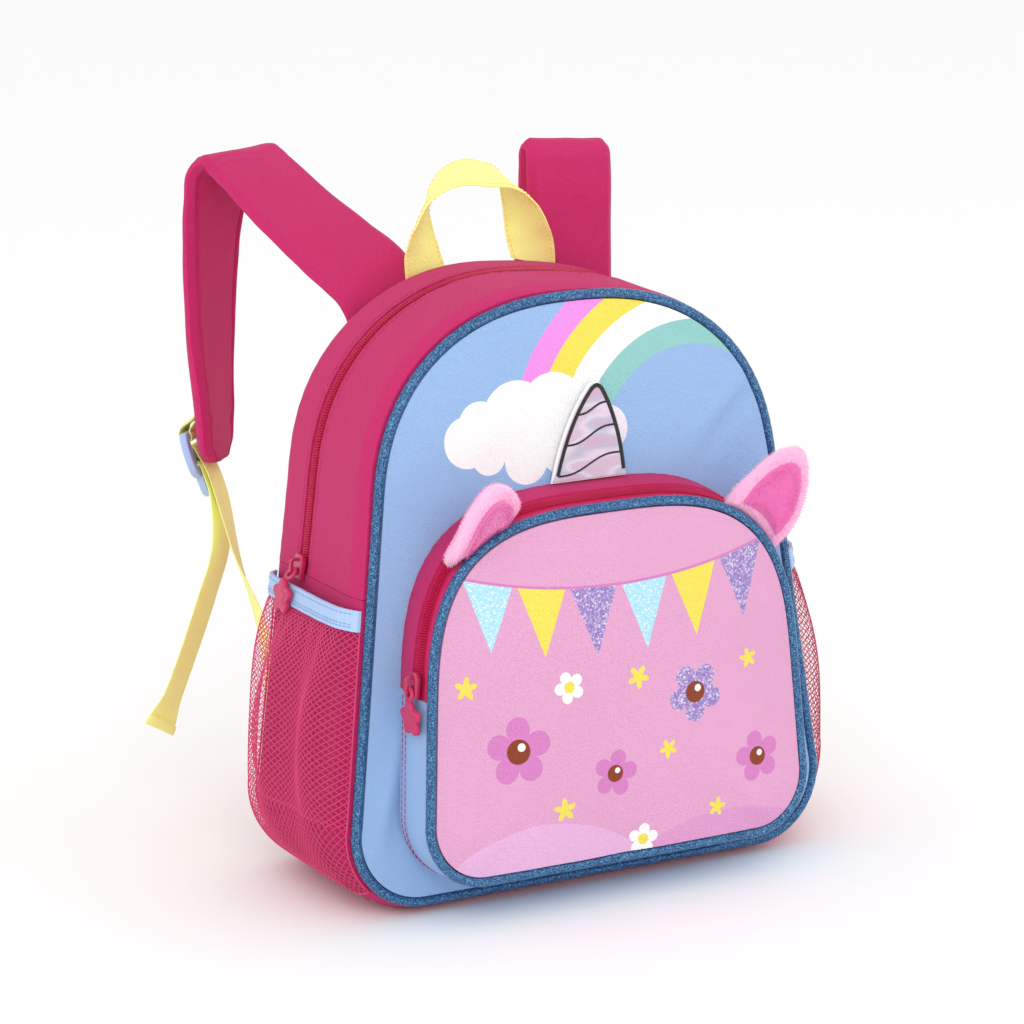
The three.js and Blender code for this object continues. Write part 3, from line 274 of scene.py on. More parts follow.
def grid_quads(rows: int, columns: int, start: int = 0, wrap: bool = False) -> Array:
    """Quads of a rows by columns grid of points. wrap joins its last column to its first."""
    i, j = np.meshgrid(np.arange(rows - 1), np.arange(columns if wrap else columns - 1), indexing="ij")
    k = (j + 1) % columns
    quad = np.stack([i * columns + j, (i + 1) * columns + j, (i + 1) * columns + k, i * columns + k], axis=-1)
    return quad.reshape(-1, 4) + start


def shell(outer: Array, inner: Array, flat: Array) -> Surface:
    """A closed wall between two grids of points, shaped (rows, columns, 3)."""
    rows, columns = outer.shape[:2]
    n = rows * columns
    faces = [grid_quads(rows, columns), grid_quads(rows, columns, n)[:, ::-1]]
    index = np.arange(n).reshape(rows, columns)
    for edge, turned in ((index[0], True), (index[-1], False), (index[:, 0], False), (index[:, -1], True)):
        quad = np.stack([edge[:-1], edge[1:], edge[1:] + n, edge[:-1] + n], axis=-1)
        faces.append(quad[:, ::-1] if turned else quad)
    points = np.vstack([outer.reshape(-1, 3), inner.reshape(-1, 3)])
    return Surface(points, np.vstack(faces), np.vstack([flat.reshape(-1, 2)] * 2))


def plate(front: Array, back: Array, flat: Array) -> Surface:
    """A closed plate from two polar grids, shaped (rings, around, 3), whose first rings are their middles."""
    rings, around = front.shape[:2]
    n = rings * around
    edge = np.arange(n - around, n)
    rim = np.stack([edge, np.roll(edge, -1), np.roll(edge, -1) + n, edge + n], axis=-1)
    quads = np.vstack([grid_quads(rings, around, 0, True), grid_quads(rings, around, n, True)[:, ::-1], rim])
    return Surface(
        np.vstack([front.reshape(-1, 3), back.reshape(-1, 3)]), quads, np.vstack([flat.reshape(-1, 2)] * 2)
    )


def tube(centre: Array, first: Array, second: Array, sides: int, closed: bool, length: float) -> Surface:
    """A tube: centre + first cos a + second sin a at each point of a line."""
    a = np.linspace(0, 2 * math.pi, sides, endpoint=False)[None, :, None]
    ring = centre[:, None] + first[:, None] * np.cos(a) + second[:, None] * np.sin(a)
    rows = len(centre)
    quads = grid_quads(rows, sides, 0, True)
    if closed:
        last = (rows - 1) * sides + np.arange(sides)
        quads = np.vstack(
            [quads, np.stack([last, np.arange(sides), np.roll(np.arange(sides), -1), np.roll(last, -1)], -1)]
        )
    u, v = np.meshgrid(np.linspace(0, length, rows), np.linspace(0, 12, sides), indexing="ij")
    return Surface(ring.reshape(-1, 3), quads, np.stack([u, v], axis=-1).reshape(-1, 2))


def bars(
    start: Array, end: Array, side: Array, normal: Array, half_width: float, half_height: float
) -> Surface:
    """One small four-sided bar from each start to each end, narrowed at its ends."""
    steps = np.array([0, 0.18, 0.82, 1])
    size = np.array([0.45, 1, 1, 0.45])
    line = lerp(start[:, None], end[:, None], steps[None, :, None])
    corners = np.array([[1, 0], [0, 1], [-1, 0], [0, -1]])
    offset = (
        side[:, None, None] * (corners[None, None, :, :1] * half_width)
        + normal[:, None, None] * (corners[None, None, :, 1:] * half_height)
    ) * size[None, :, None, None]
    points = (line[:, :, None] + offset).reshape(-1, 3)
    one = np.vstack([grid_quads(4, 4, 0, True), [[3, 2, 1, 0]], [[12, 13, 14, 15]]])
    quads = (one[None] + 16 * np.arange(len(start))[:, None, None]).reshape(-1, 4)
    return Surface(points, quads, points[:, [0, 2]] - points[:, [0, 2]].min(axis=0))


def stitches(
    line: Array, normal: Array, pitch: float = 3.0, share: float = 0.68, size: float = 0.42
) -> Surface:
    """A row of sewing stitches along a line of points, standing out along the normals."""
    step = np.linalg.norm(np.diff(line, axis=0), axis=1)
    length = np.concatenate([[0], np.cumsum(step)])
    count = max(2, int(length[-1] / pitch))
    begin = np.arange(count) * length[-1] / count
    pick = lambda s, v: np.stack([np.interp(s, length, v[:, i]) for i in range(3)], axis=-1)
    start, end = pick(begin, line), pick(begin + pitch * share, line)
    out = unit(pick(begin + pitch * share / 2, normal))
    side = unit(np.cross(end - start, out))
    lift = out * size * 0.35
    return bars(start + lift, end + lift, side, out, size * 0.5, size * 0.45)


def make(
    name: str, surface: Surface, material: bpy.types.Material, nodes: Sequence[str] = (), slot: str = "",
    angle: float = 45
) -> bpy.types.Object:
    """Makes an object of a surface, in metres, on the root body.

    Args: name: its name. surface: its shape. material: its finish. nodes: the CAD nodes it stands for.
    slot: not used. angle: edges sharper than this (degrees) stay sharp.
    Returns: the object.
    """
    p, q = surface.points, surface.quads
    a, b, c = (p[q[:, i]] for i in (0, 1, 2))
    volume = np.sum(a * np.cross(b, c)) + np.sum(a * np.cross(c, p[q[:, 3]]))
    if volume < 0:
        q = q[:, ::-1]
    mesh = bpy.data.meshes.new(name)
    mesh.vertices.add(len(p))
    mesh.vertices.foreach_set("co", (p * MM).ravel())
    loops = np.ascontiguousarray(q).ravel().astype(np.int32)
    mesh.loops.add(len(loops))
    mesh.loops.foreach_set("vertex_index", loops)
    mesh.polygons.add(len(q))
    mesh.polygons.foreach_set("loop_start", np.arange(0, len(loops), 4, dtype=np.int32))
    layer = mesh.uv_layers.new(name="flat")
    layer.data.foreach_set("uv", surface.flat[loops].astype(np.float32).ravel())
    mesh.update(calc_edges=True)
    mesh.validate()
    mesh.polygons.foreach_set("use_smooth", np.ones(len(mesh.polygons), bool))
    mesh.set_sharp_from_angle(angle=math.radians(angle))
    return place(name, mesh, material, nodes, slot)


def place(
    name: str, mesh: bpy.types.Mesh, material: bpy.types.Material, nodes: Sequence[str] = (), slot: str = ""
) -> bpy.types.Object:
    """Links a mesh as an object of the root body, in place of the CAD nodes."""
    mesh.materials.clear()
    mesh.materials.append(material)
    piece = bpy.data.objects.new(name.replace(" ", "_"), mesh)
    bpy.context.scene.collection.objects.link(piece)
    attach(piece, "root")
    if nodes:
        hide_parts(*nodes)
    return piece


def extruded(
    name: str, loops: Sequence[Array], depth: float, bevel: float, matrix: Matrix,
    material: bpy.types.Material, nodes: Sequence[str] = (), slot: str = ""
) -> bpy.types.Object:
    """A flat shape with holes, extruded along its own Z with rounded edges, and moved by a matrix."""
    curve = bpy.data.curves.new(name, "CURVE")
    curve.dimensions, curve.fill_mode = "2D", "BOTH"
    curve.extrude, curve.bevel_depth, curve.bevel_resolution = max(depth / 2 - bevel, 0.01), bevel, 3
    for loop in loops:
        spline = curve.splines.new("POLY")
        spline.points.add(len(loop) - 1)
        spline.points.foreach_set(
            "co", np.column_stack([loop, np.zeros(len(loop)), np.ones(len(loop))]).ravel()
        )
        spline.use_cyclic_u = True
    shape = bpy.data.objects.new(name + "_shape", curve)
    bpy.context.scene.collection.objects.link(shape)
    mesh = bpy.data.meshes.new_from_object(shape.evaluated_get(bpy.context.evaluated_depsgraph_get()))
    bpy.data.objects.remove(shape)
    bpy.data.curves.remove(curve)
    mesh.name = name
    mesh.transform(Matrix.Scale(MM, 4) @ matrix)
    mesh.polygons.foreach_set("use_smooth", np.ones(len(mesh.polygons), bool))
    mesh.set_sharp_from_angle(angle=math.radians(40))
    return place(name, mesh, material, nodes, slot)


# Finishes.


class Graph:
    """Adds nodes to a shader tree. A value is a number, a colour or a socket."""

    def __init__(self, tree: bpy.types.NodeTree):
        self.tree = tree

    def node(self, kind: str, values: dict | None = None, **settings) -> bpy.types.Node:
        """A node with its settings, and its inputs by name or number."""
        made = self.tree.nodes.new(kind)
        for key, value in settings.items():
            setattr(made, key, value)
        return self.feed(made, values or {})

    def feed(self, made: bpy.types.Node, values: dict) -> bpy.types.Node:
        """Links or sets a node's inputs."""
        for key, value in values.items():
            if isinstance(value, bpy.types.NodeSocket):
                self.tree.links.new(value, made.inputs[key])
            else:
                made.inputs[key].default_value = value
        return made

    def math(self, operation: str, *values, clamp: bool = False):
        """A Math node."""
        return self.node(
            "ShaderNodeMath", dict(enumerate(values)), operation=operation, use_clamp=clamp
        ).outputs[0]

    def vector(self, operation: str, *values):
        """A Vector Math node. Its number comes from the operations that give one."""
        made = self.node("ShaderNodeVectorMath", dict(enumerate(values)), operation=operation)
        return made.outputs["Value" if operation in ("LENGTH", "DISTANCE", "DOT_PRODUCT") else "Vector"]

    def mix(self, share, a, b):
        """A colour mix."""
        return self.node("ShaderNodeMix", {0: share, 6: a, 7: b}, data_type="RGBA").outputs[2]

    def noise(self, vector, scale: float, detail: float = 2, roughness: float = 0.5):
        """Noise, 0 to 1."""
        values = {"Vector": vector, "Scale": scale, "Detail": detail, "Roughness": roughness}
        return self.node("ShaderNodeTexNoise", values).outputs["Fac"]

    def group(self, tree: bpy.types.NodeTree, values: dict) -> bpy.types.Node:
        """A group node with its inputs."""
        made = self.tree.nodes.new("ShaderNodeGroup")
        made.node_tree = tree
        return self.feed(made, values)

    def object_mm(self):
        """The point in the row frame, in millimetres."""
        point = self.node("ShaderNodeTexCoord").outputs["Object"]
        scaled = self.node("ShaderNodeVectorMath", {0: point}, operation="SCALE")
        scaled.inputs["Scale"].default_value = 1000
        return scaled.outputs[0]

    def flat_mm(self):
        """The piece's own flat coordinate, in millimetres."""
        return self.node("ShaderNodeUVMap", uv_map="flat").outputs[0]


def new_group(name: str, inputs: Sequence[tuple], outputs: Sequence[tuple]) -> tuple:
    """A node group with inputs of (name, kind, value) and outputs of (name, kind).

    Returns: its graph, and the sockets of its input and output nodes.
    """
    tree = bpy.data.node_groups.new(name, "ShaderNodeTree")
    for label, kind, value in inputs:
        socket = tree.interface.new_socket(label, in_out="INPUT", socket_type=f"NodeSocket{kind}")
        if value is not None:
            socket.default_value = value
    for label, kind in outputs:
        tree.interface.new_socket(label, in_out="OUTPUT", socket_type=f"NodeSocket{kind}")
    graph = Graph(tree)
    return graph, graph.node("NodeGroupInput").outputs, graph.node("NodeGroupOutput").inputs


def once(build: Callable) -> Callable:
    """Calls a group's builder once and keeps the group."""
    made = []

    def get() -> bpy.types.NodeTree:
        if not made:
            made.append(build())
        return made[0]

    return get


@once
def weave_group() -> bpy.types.NodeTree:
    """Plain weave: height = sin(2 pi x / pitch) sin(2 pi y / pitch), with uneven threads."""
    g, given, out = new_group(
        "Weave", [("Flat", "Vector", None), ("Pitch", "Float", 1.2)],
        [("Height", "Float"), ("Shade", "Float")]
    )
    wobble = g.noise(given["Flat"], 0.35, 2)
    point = g.vector("ADD", given["Flat"], g.node("ShaderNodeCombineXYZ", {0: wobble, 1: wobble}).outputs[0])
    axes = g.node("ShaderNodeSeparateXYZ", {0: point})
    turns = g.math("DIVIDE", 2 * math.pi, given["Pitch"])
    waves = [g.math("SINE", g.math("MULTIPLY", axes.outputs[i], turns)) for i in (0, 1)]
    height = g.math("MULTIPLY", waves[0], waves[1])
    uneven = g.noise(given["Flat"], 1.1, 3, 0.7)
    g.tree.links.new(g.math("MULTIPLY_ADD", uneven, 0.8, height), out["Height"])
    shade = g.math(
        "ADD", g.math("MULTIPLY", height, 0.5), g.math("MULTIPLY", g.math("SUBTRACT", uneven, 0.5), 1.2)
    )
    g.tree.links.new(shade, out["Shade"])
    return g.tree


@once
def glitter_group() -> bpy.types.NodeTree:
    """Flakes: cells whose brightness and tilt differ."""
    g, given, out = new_group(
        "Glitter", [("Point", "Vector", None), ("Size", "Float", 0.7)],
        [("Flake", "Float"), ("Normal", "Vector")]
    )
    scale = g.math("DIVIDE", 1.0, given["Size"])
    cells = g.node("ShaderNodeTexVoronoi", {"Vector": given["Point"], "Scale": scale})
    axes = g.node("ShaderNodeSeparateXYZ", {0: cells.outputs["Color"]})
    g.tree.links.new(g.math("POWER", axes.outputs[0], 3.0), out["Flake"])
    bump = g.node("ShaderNodeBump", {"Strength": 0.7, "Distance": 0.0003, "Height": axes.outputs[1]})
    g.tree.links.new(bump.outputs[0], out["Normal"])
    return g.tree


@once
def petals_group() -> bpy.types.NodeTree:
    """A shape round a centre.

    It is inside where r < Radius (1 - Depth + Depth |cos(Count (angle - Turn) / 2)|^Power).
    """
    sockets = [
        ("X", "Float", 0.0), ("Z", "Float", 0.0), ("Centre X", "Float", 0.0), ("Centre Z", "Float", 0.0)
    ]
    sockets += [
        ("Radius", "Float", 10.0), ("Depth", "Float", 0.2), ("Count", "Float", 5.0), ("Turn", "Float", 0.0),
        ("Power", "Float", 0.6)
    ]
    g, given, out = new_group("Petals", sockets, [("Mask", "Float")])
    dx = g.math("SUBTRACT", given["X"], given["Centre X"])
    dz = g.math("SUBTRACT", given["Z"], given["Centre Z"])
    r = g.math("SQRT", g.math("ADD", g.math("MULTIPLY", dx, dx), g.math("MULTIPLY", dz, dz)))
    angle = g.math("SUBTRACT", g.math("ARCTAN2", dz, dx), given["Turn"])
    turned = g.math("MULTIPLY", angle, g.math("MULTIPLY", given["Count"], 0.5))
    wave = g.math("POWER", g.math("ABSOLUTE", g.math("COSINE", turned)), given["Power"])
    edge = g.math("ADD", g.math("SUBTRACT", 1.0, given["Depth"]), g.math("MULTIPLY", wave, given["Depth"]))
    inside = g.math("SUBTRACT", g.math("MULTIPLY", edge, given["Radius"]), r)
    g.tree.links.new(g.math("MULTIPLY_ADD", inside, 4.0, 0.5, clamp=True), out["Mask"])
    return g.tree


@once
def pennant_group() -> bpy.types.NodeTree:
    """A triangle that hangs by its top edge: |x| < Width / 2 (1 - drop / Height), and drop > 0."""
    sockets = [("X", "Float", 0.0), ("Z", "Float", 0.0), ("Centre X", "Float", 0.0), ("Top Z", "Float", 0.0)]
    sockets += [("Width", "Float", 20.0), ("Height", "Float", 28.0), ("Slope", "Float", 0.0)]
    g, given, out = new_group("Pennant", sockets, [("Mask", "Float")])
    dx = g.math("SUBTRACT", given["X"], given["Centre X"])
    top = g.math("ADD", given["Top Z"], g.math("MULTIPLY", dx, given["Slope"]))
    drop = g.math("SUBTRACT", top, given["Z"])
    room = g.math(
        "MULTIPLY", g.math("MULTIPLY", given["Width"], 0.5),
        g.math("SUBTRACT", 1.0, g.math("DIVIDE", drop, given["Height"]))
    )
    inside = g.math("MINIMUM", g.math("SUBTRACT", room, g.math("ABSOLUTE", dx)), drop)
    g.tree.links.new(g.math("MULTIPLY_ADD", inside, 4.0, 0.5, clamp=True), out["Mask"])
    return g.tree


def colour(r: int, g: int, b: int) -> tuple:
    """A linear colour from sRGB values of 0 to 255."""
    channel = lambda v: v / 255 / 12.92 if v <= 10 else ((v / 255 + 0.055) / 1.055) ** 2.4
    return (channel(r), channel(g), channel(b), 1.0)


MAGENTA = colour(202, 38, 106)
BLUE = colour(156, 190, 234)
PINK = colour(230, 168, 206)
WHITE = colour(255, 254, 255)
YELLOW = colour(246, 228, 92)
TEAL = colour(150, 208, 204)
VIOLET = colour(244, 150, 236)
CYAN = colour(170, 228, 248)
LILAC = colour(152, 122, 196)
ROSE = colour(218, 132, 197)
PALE = colour(234, 182, 224)
BROWN = colour(140, 58, 20)
BLACK = colour(18, 16, 20)


def new_material(name: str) -> tuple:
    """A material with nodes. Returns it, its tree, a graph over the tree and its shader."""
    material = bpy.data.materials.new(name)
    material.use_nodes = True
    tree = material.node_tree
    return material, tree, Graph(tree), tree.nodes["Principled BSDF"]


class Weave(Enum):
    """How a band or cloth is woven: its thread pitch along and across, and the depth of its threads (mm)."""

    CLOTH = (1.15, 0.2)
    WEBBING = (1.7, 0.16)
    ELASTIC = (1.5, 0.14)


@dataclass(frozen=True)
class Cloth:
    """Woven cloth of one colour, or with a print painted by a function of the graph and the point."""

    name: str
    base: tuple
    weave: Weave = Weave.CLOTH
    roughness: float = 0.78
    contrast: float = 0.24
    sheen: float = 0.06
    paint: Callable | None = None

    def material(self) -> bpy.types.Material:
        """Makes the material."""
        material, tree, g, shader = new_material(self.name)
        pitch, depth = self.weave.value
        weave = g.group(weave_group(), {"Flat": g.flat_mm(), "Pitch": pitch})
        ground, gloss = self.paint(g, self.base) if self.paint else (self.base, None)
        worn = g.noise(g.object_mm(), 0.012, 3)
        shade = g.math(
            "ADD", g.math("MULTIPLY", weave.outputs["Shade"], self.contrast),
            g.math("MULTIPLY", g.math("SUBTRACT", worn, 0.5), 0.12)
        )
        tinted = g.node(
            "ShaderNodeHueSaturation", {"Value": g.math("ADD", 1.0, shade), "Color": ground}
        ).outputs[0]
        bump = g.node(
            "ShaderNodeBump", {"Strength": 0.8, "Distance": depth * MM, "Height": weave.outputs["Height"]}
        )
        tree.links.new(tinted, shader.inputs["Base Color"])
        tree.links.new(bump.outputs[0], shader.inputs["Normal"])
        shader.inputs["Roughness"].default_value = self.roughness
        if gloss is not None:
            rough = g.math("SUBTRACT", self.roughness, g.math("MULTIPLY", gloss, 0.45))
            tree.links.new(rough, shader.inputs["Roughness"])
        shader.inputs["Sheen Weight"].default_value = self.sheen
        shader.inputs["Sheen Roughness"].default_value = 0.4
        shader.inputs["Specular IOR Level"].default_value = 0.3
        return material


@dataclass(frozen=True)
class Glitter:
    """A coated glitter surface of a dark and a light colour."""

    name: str
    dark: tuple
    light: tuple
    size: float = 0.55

    def material(self) -> bpy.types.Material:
        """Makes the material."""
        material, tree, g, shader = new_material(self.name)
        flakes = g.group(glitter_group(), {"Point": g.object_mm(), "Size": self.size})
        tree.links.new(g.mix(flakes.outputs["Flake"], self.dark, self.light), shader.inputs["Base Color"])
        tree.links.new(flakes.outputs["Normal"], shader.inputs["Normal"])
        shader.inputs["Roughness"].default_value = 0.32
        shader.inputs["Metallic"].default_value = 0.35
        return material


@dataclass(frozen=True)
class Plain:
    """A smooth moulded or painted surface, with a little unevenness."""

    name: str
    base: tuple
    roughness: float = 0.35
    coat: float = 0.0
    sheen: float = 0.0
    metallic: float = 0.0
    grain: float = 0.02

    def material(self) -> bpy.types.Material:
        """Makes the material."""
        material, tree, g, shader = new_material(self.name)
        noise = g.noise(g.object_mm(), 0.8, 3)
        bump = g.node("ShaderNodeBump", {"Strength": 0.6, "Distance": self.grain * MM, "Height": noise})
        tree.links.new(bump.outputs[0], shader.inputs["Normal"])
        for key, value in (
            ("Base Color", self.base), ("Roughness", self.roughness), ("Coat Weight", self.coat),
            ("Sheen Weight", self.sheen), ("Metallic", self.metallic)
        ):
            shader.inputs[key].default_value = value
        return material


@dataclass(frozen=True)
class Foil:
    """Pale iridescent foil: soft bands of pink, lilac and pale blue."""

    name: str

    def material(self) -> bpy.types.Material:
        """Makes the material."""
        material, tree, g, shader = new_material(self.name)
        point = g.object_mm()
        stretched = g.vector("MULTIPLY", point, (0.05, 0.05, 0.11))
        bands = g.noise(stretched, 0.8, 1, 0.4)
        ramp = g.node("ShaderNodeValToRGB", {0: bands})
        stops = (
            (0.30, colour(222, 176, 204)), (0.42, colour(206, 186, 206)), (0.5, colour(226, 206, 222)),
            (0.58, colour(190, 184, 206)), (0.70, colour(206, 170, 196))
        )
        elements = ramp.color_ramp.elements
        for i, (at, value) in enumerate(stops):
            element = elements[i] if i < 2 else elements.new(at)
            element.position, element.color = at, value
        crease = g.noise(point, 0.3, 3, 0.6)
        bump = g.node("ShaderNodeBump", {"Strength": 0.5, "Distance": 0.0004, "Height": crease})
        tree.links.new(ramp.outputs[0], shader.inputs["Base Color"])
        tree.links.new(bump.outputs[0], shader.inputs["Normal"])
        shader.inputs["Roughness"].default_value = 0.22
        shader.inputs["Metallic"].default_value = 0.35
        shader.inputs["Coat Weight"].default_value = 0.4
        return material


# The rainbow: (outer radius, inner radius, colour) round a centre, and the cloud's discs: (x, z, radius).
RAINBOW_CENTRE, RAINBOW_END = (61.3, 210.8), 232.0
RAINBOW_BANDS = ((102.0, 89.5, VIOLET), (89.5, 76.9, YELLOW), (76.9, 63.4, WHITE), (63.4, 51.3, TEAL))
CLOUD_DISCS = (
    (-62, 227, 12.5), (-55, 235, 11), (-35, 235, 19), (-15, 238, 18), (14, 226, 11.5), (-51, 219, 9),
    (-31, 215, 11.5), (-7, 223, 18)
)


def paint_sky(g: Graph, base: tuple) -> tuple:
    """The front panel's print: a rainbow behind a cloud."""
    axes = g.node("ShaderNodeSeparateXYZ", {0: g.object_mm()})
    x, z = axes.outputs[0], axes.outputs[2]
    petals = petals_group()
    disc = lambda cx, cz, r: g.group(
        petals, {"X": x, "Z": z, "Centre X": cx, "Centre Z": cz, "Radius": r, "Depth": 0.0}
    ).outputs[0]
    shown = base
    for outer, inner, tone in RAINBOW_BANDS:
        band = g.math("SUBTRACT", disc(*RAINBOW_CENTRE, outer), disc(*RAINBOW_CENTRE, inner), clamp=True)
        band = g.math("MULTIPLY", band, g.math("GREATER_THAN", z, RAINBOW_END))
        shown = g.mix(band, shown, tone)
    cloud = 0.0
    for cx, cz, r in CLOUD_DISCS:
        cloud = g.math("MAXIMUM", cloud, disc(cx, cz, r))
    soft = g.math("MULTIPLY_ADD", g.math("SUBTRACT", x, z), 0.014, 3.3, clamp=True)
    shown = g.mix(cloud, shown, g.mix(soft, WHITE, colour(238, 214, 246)))
    return shown, cloud


# The pocket's print. Pennants: (x, colour). Flowers: (x, z, radius, turn, petals' colour, and whether the
# centre is glossy brown with a painted white highlight or plain yellow).
# Stars: (x, z, radius, turn). The string sags by STRING_RISE over its half span.
STRING_HEIGHT, STRING_RISE, STRING_HALF_SPAN = 158, 12, 84
PENNANTS = ((-70, CYAN), (-42, YELLOW), (-14, LILAC), (14, CYAN), (42, YELLOW), (70, LILAC))
FLOWERS = (
    (-58, 84, 17, 0.3, ROSE, True),
    (40, 100, 15, 0.9, LILAC, True),
    (-6, 66, 12, 0.1, ROSE, True),
    (76, 62, 13, 0.5, ROSE, True),
    (-30, 112, 8, 0.7, WHITE, False),
    (10, 30, 8, 0.2, WHITE, False),
)
STARS = (
    (-84, 118, 6, 0.2), (8, 112, 6, 1.0), (72, 112, 5, 0.5), (24, 74, 5, 0.8), (-34, 52, 6, 0.4),
    (52, 40, 5, 0.1)
)
HILLS = ((-46, -38, 84, PALE), (58, -66, 104, colour(224, 158, 206)))


def paint_meadow(g: Graph, base: tuple) -> tuple:
    """The pocket's print: bunting over flowers, stars and two hills."""
    point = g.object_mm()
    axes = g.node("ShaderNodeSeparateXYZ", {0: point})
    x, z = axes.outputs[0], axes.outputs[2]
    flakes = g.group(glitter_group(), {"Point": point, "Size": 0.8}).outputs["Flake"]
    sparkle = lambda tone: g.mix(g.math("MULTIPLY", flakes, 0.75), tone, WHITE)
    shape = lambda cx, cz, r, depth=0.0, count=5.0, turn=0.0, power=0.6: g.group(
        petals_group(), {
            "X": x, "Z": z, "Centre X": cx, "Centre Z": cz, "Radius": r, "Depth": depth, "Count": count,
            "Turn": turn, "Power": power
        }
    ).outputs[0]
    shown, gloss = base, 0.0
    for cx, cz, r, tone in HILLS:
        shown = g.mix(shape(cx, cz, r), shown, tone)
    for cx, tone in PENNANTS:
        top = STRING_HEIGHT + STRING_RISE * (cx / STRING_HALF_SPAN) ** 2
        values = {
            "X": x, "Z": z, "Centre X": cx, "Top Z": top, "Width": 25.0, "Height": 33.0,
            "Slope": 2 * STRING_RISE * cx / STRING_HALF_SPAN**2
        }
        mask = g.group(pennant_group(), values).outputs[0]
        shown = g.mix(mask, shown, tone if tone == YELLOW else sparkle(tone))
        gloss = g.math("MAXIMUM", gloss, g.math("MULTIPLY", mask, 0.5))
    bend = STRING_RISE / STRING_HALF_SPAN**2
    string = g.math("MULTIPLY_ADD", g.math("MULTIPLY", x, x), bend, STRING_HEIGHT + 0.4)
    near = g.math("SUBTRACT", 0.8, g.math("ABSOLUTE", g.math("SUBTRACT", string, z)))
    inside = g.math("SUBTRACT", float(STRING_HALF_SPAN), g.math("ABSOLUTE", x))
    shown = g.mix(g.math("MULTIPLY", g.math("MINIMUM", near, inside), 4.0, clamp=True), shown, ROSE)
    for cx, cz, r, turn, tone, brown_with_painted_highlight in FLOWERS:
        shown = g.mix(shape(cx, cz, r, 0.5, 5.0, turn), shown, sparkle(tone) if tone == LILAC else tone)
        heart = shape(cx, cz, 0.36 * r)
        shown = g.mix(heart, shown, BROWN if brown_with_painted_highlight else YELLOW)
        if brown_with_painted_highlight:
            # Painted highlight: a small white dot up and to the right on the glossy brown centre.
            shown = g.mix(shape(cx + 0.1 * r, cz + 0.12 * r, 0.12 * r), shown, WHITE)
            gloss = g.math("MAXIMUM", gloss, heart)
    for cx, cz, r, turn in STARS:
        shown = g.mix(shape(cx, cz, r, 0.55, 5.0, turn, 2.0), shown, YELLOW)
    return shown, gloss


class Finishes:
    """The bag's materials, made once."""

    def __init__(self):
        self.magenta = Cloth("magenta cloth", MAGENTA).material()
        self.sky = Cloth("blue printed cloth", BLUE, paint=paint_sky).material()
        self.blue = Cloth("blue cloth", BLUE).material()
        self.meadow = Cloth("pink printed cloth", PINK, paint=paint_meadow).material()
        self.piping = Glitter("glitter piping", colour(24, 66, 116), colour(112, 176, 220), 0.42).material()
        self.tape = Cloth("zip tape", colour(196, 12, 74), Weave.ELASTIC, 0.7).material()
        self.coil = Plain("zip coil", colour(196, 12, 74), 0.42).material()
        self.slider = Plain("zip slider", colour(184, 26, 78), 0.3, coat=0.5).material()
        self.rubber = Plain("zip pull", colour(196, 30, 92), 0.42, sheen=0.1).material()
        self.net = Plain("net yarn", colour(212, 40, 106), 0.6, sheen=0.2, grain=0.05).material()
        self.elastic = Cloth("elastic", colour(176, 203, 241), Weave.ELASTIC, contrast=0.14).material()
        self.webbing = Cloth("webbing", colour(255, 255, 158), Weave.WEBBING, 0.72, 0.16).material()
        self.plastic = Plain("buckle plastic", colour(168, 193, 236), 0.28, coat=0.3, grain=0.01).material()
        self.thread = Plain("thread", colour(176, 18, 82), 0.6, sheen=0.3).material()
        self.pale_thread = Plain("pale thread", colour(112, 146, 200), 0.6, sheen=0.3).material()
        self.gold_thread = Plain("yellow thread", colour(250, 214, 110), 0.6, sheen=0.3).material()
        self.black_thread = Plain("black satin thread", BLACK, 0.42, sheen=0.4).material()
        self.foam = Plain("white foam", WHITE, 0.7).material()
        self.foil = Foil("iridescent foil").material()
        self.plush = Plain("pale plush", colour(252, 186, 222), 0.9, sheen=0.8, grain=0.35).material()
        self.plush_inner = Plain("deep plush", colour(230, 104, 178), 0.9, sheen=0.8, grain=0.35).material()


# The bag's shape, as in the CAD.

BODY = ArchOutline(129.5, 0.124, 285, 198, 35, 2.43, 6.4)
POCKET = ArchOutline(104.4, 0.061, 173, 82, 29, 3.17, 22)
REAR_Y = 54.5
FRONT_LEAN = 22
SAG, SAG_HEIGHT, SAG_HALF_WIDTH = 3.5, 85, 40
CLOTH = 2.0
PIPING_RADIUS = 2.4
BACK_PAD = 6.0
ZIP_WIDTH = 9.4
ZIP_RECESS = 0.8
COIL_PITCH = 1.25
COIL_HALF_WIDTH = 2.7
MAIN_ZIP_Y = REAR_Y - 36
POCKET_DEPTH = 30.0
POCKET_ZIP = 19.0


def front_seam_y(z: Array) -> Array:
    """The depth of the front seam, which leans back."""
    return -REAR_Y + FRONT_LEAN * (z - BODY.base) / BODY.height


def front_panel_y(x: Array, z: Array) -> Array:
    """The middle of the front panel's cloth."""
    return front_seam_y(z) - 4 * BODY.dome(x, z)


def pocket_seam_y(z: Array) -> Array:
    """The depth of the pocket's front seam."""
    return front_seam_y(z) - POCKET_DEPTH


def back_panel_y(x: Array, z: Array) -> Array:
    """The outer face of the padded back."""
    return REAR_Y + BACK_PAD / 2 + 4 * BODY.dome(x, z)


def gusset_sag(x: Array, z: Array) -> Array:
    """How much lower the gusset is where its top sags, from the middle to the right."""
    drop = smooth(z, BODY.top - SAG_HEIGHT, BODY.top)
    return SAG * drop * smooth(x, -SAG_HALF_WIDTH, SAG_HALF_WIDTH)


def gusset_out(y: Array, z: Array, sag: Array = 0.0) -> Array:
    """How far the main gusset stands out from the outline: flat across its middle, low at its seams."""
    front = front_seam_y(z)
    v = np.minimum(1, np.abs(2 * (y - front) / (REAR_Y - front) - 1))
    return CLOTH / 2 + (5.5 - sag) * np.minimum(1, (1 - v**6) / 0.8)


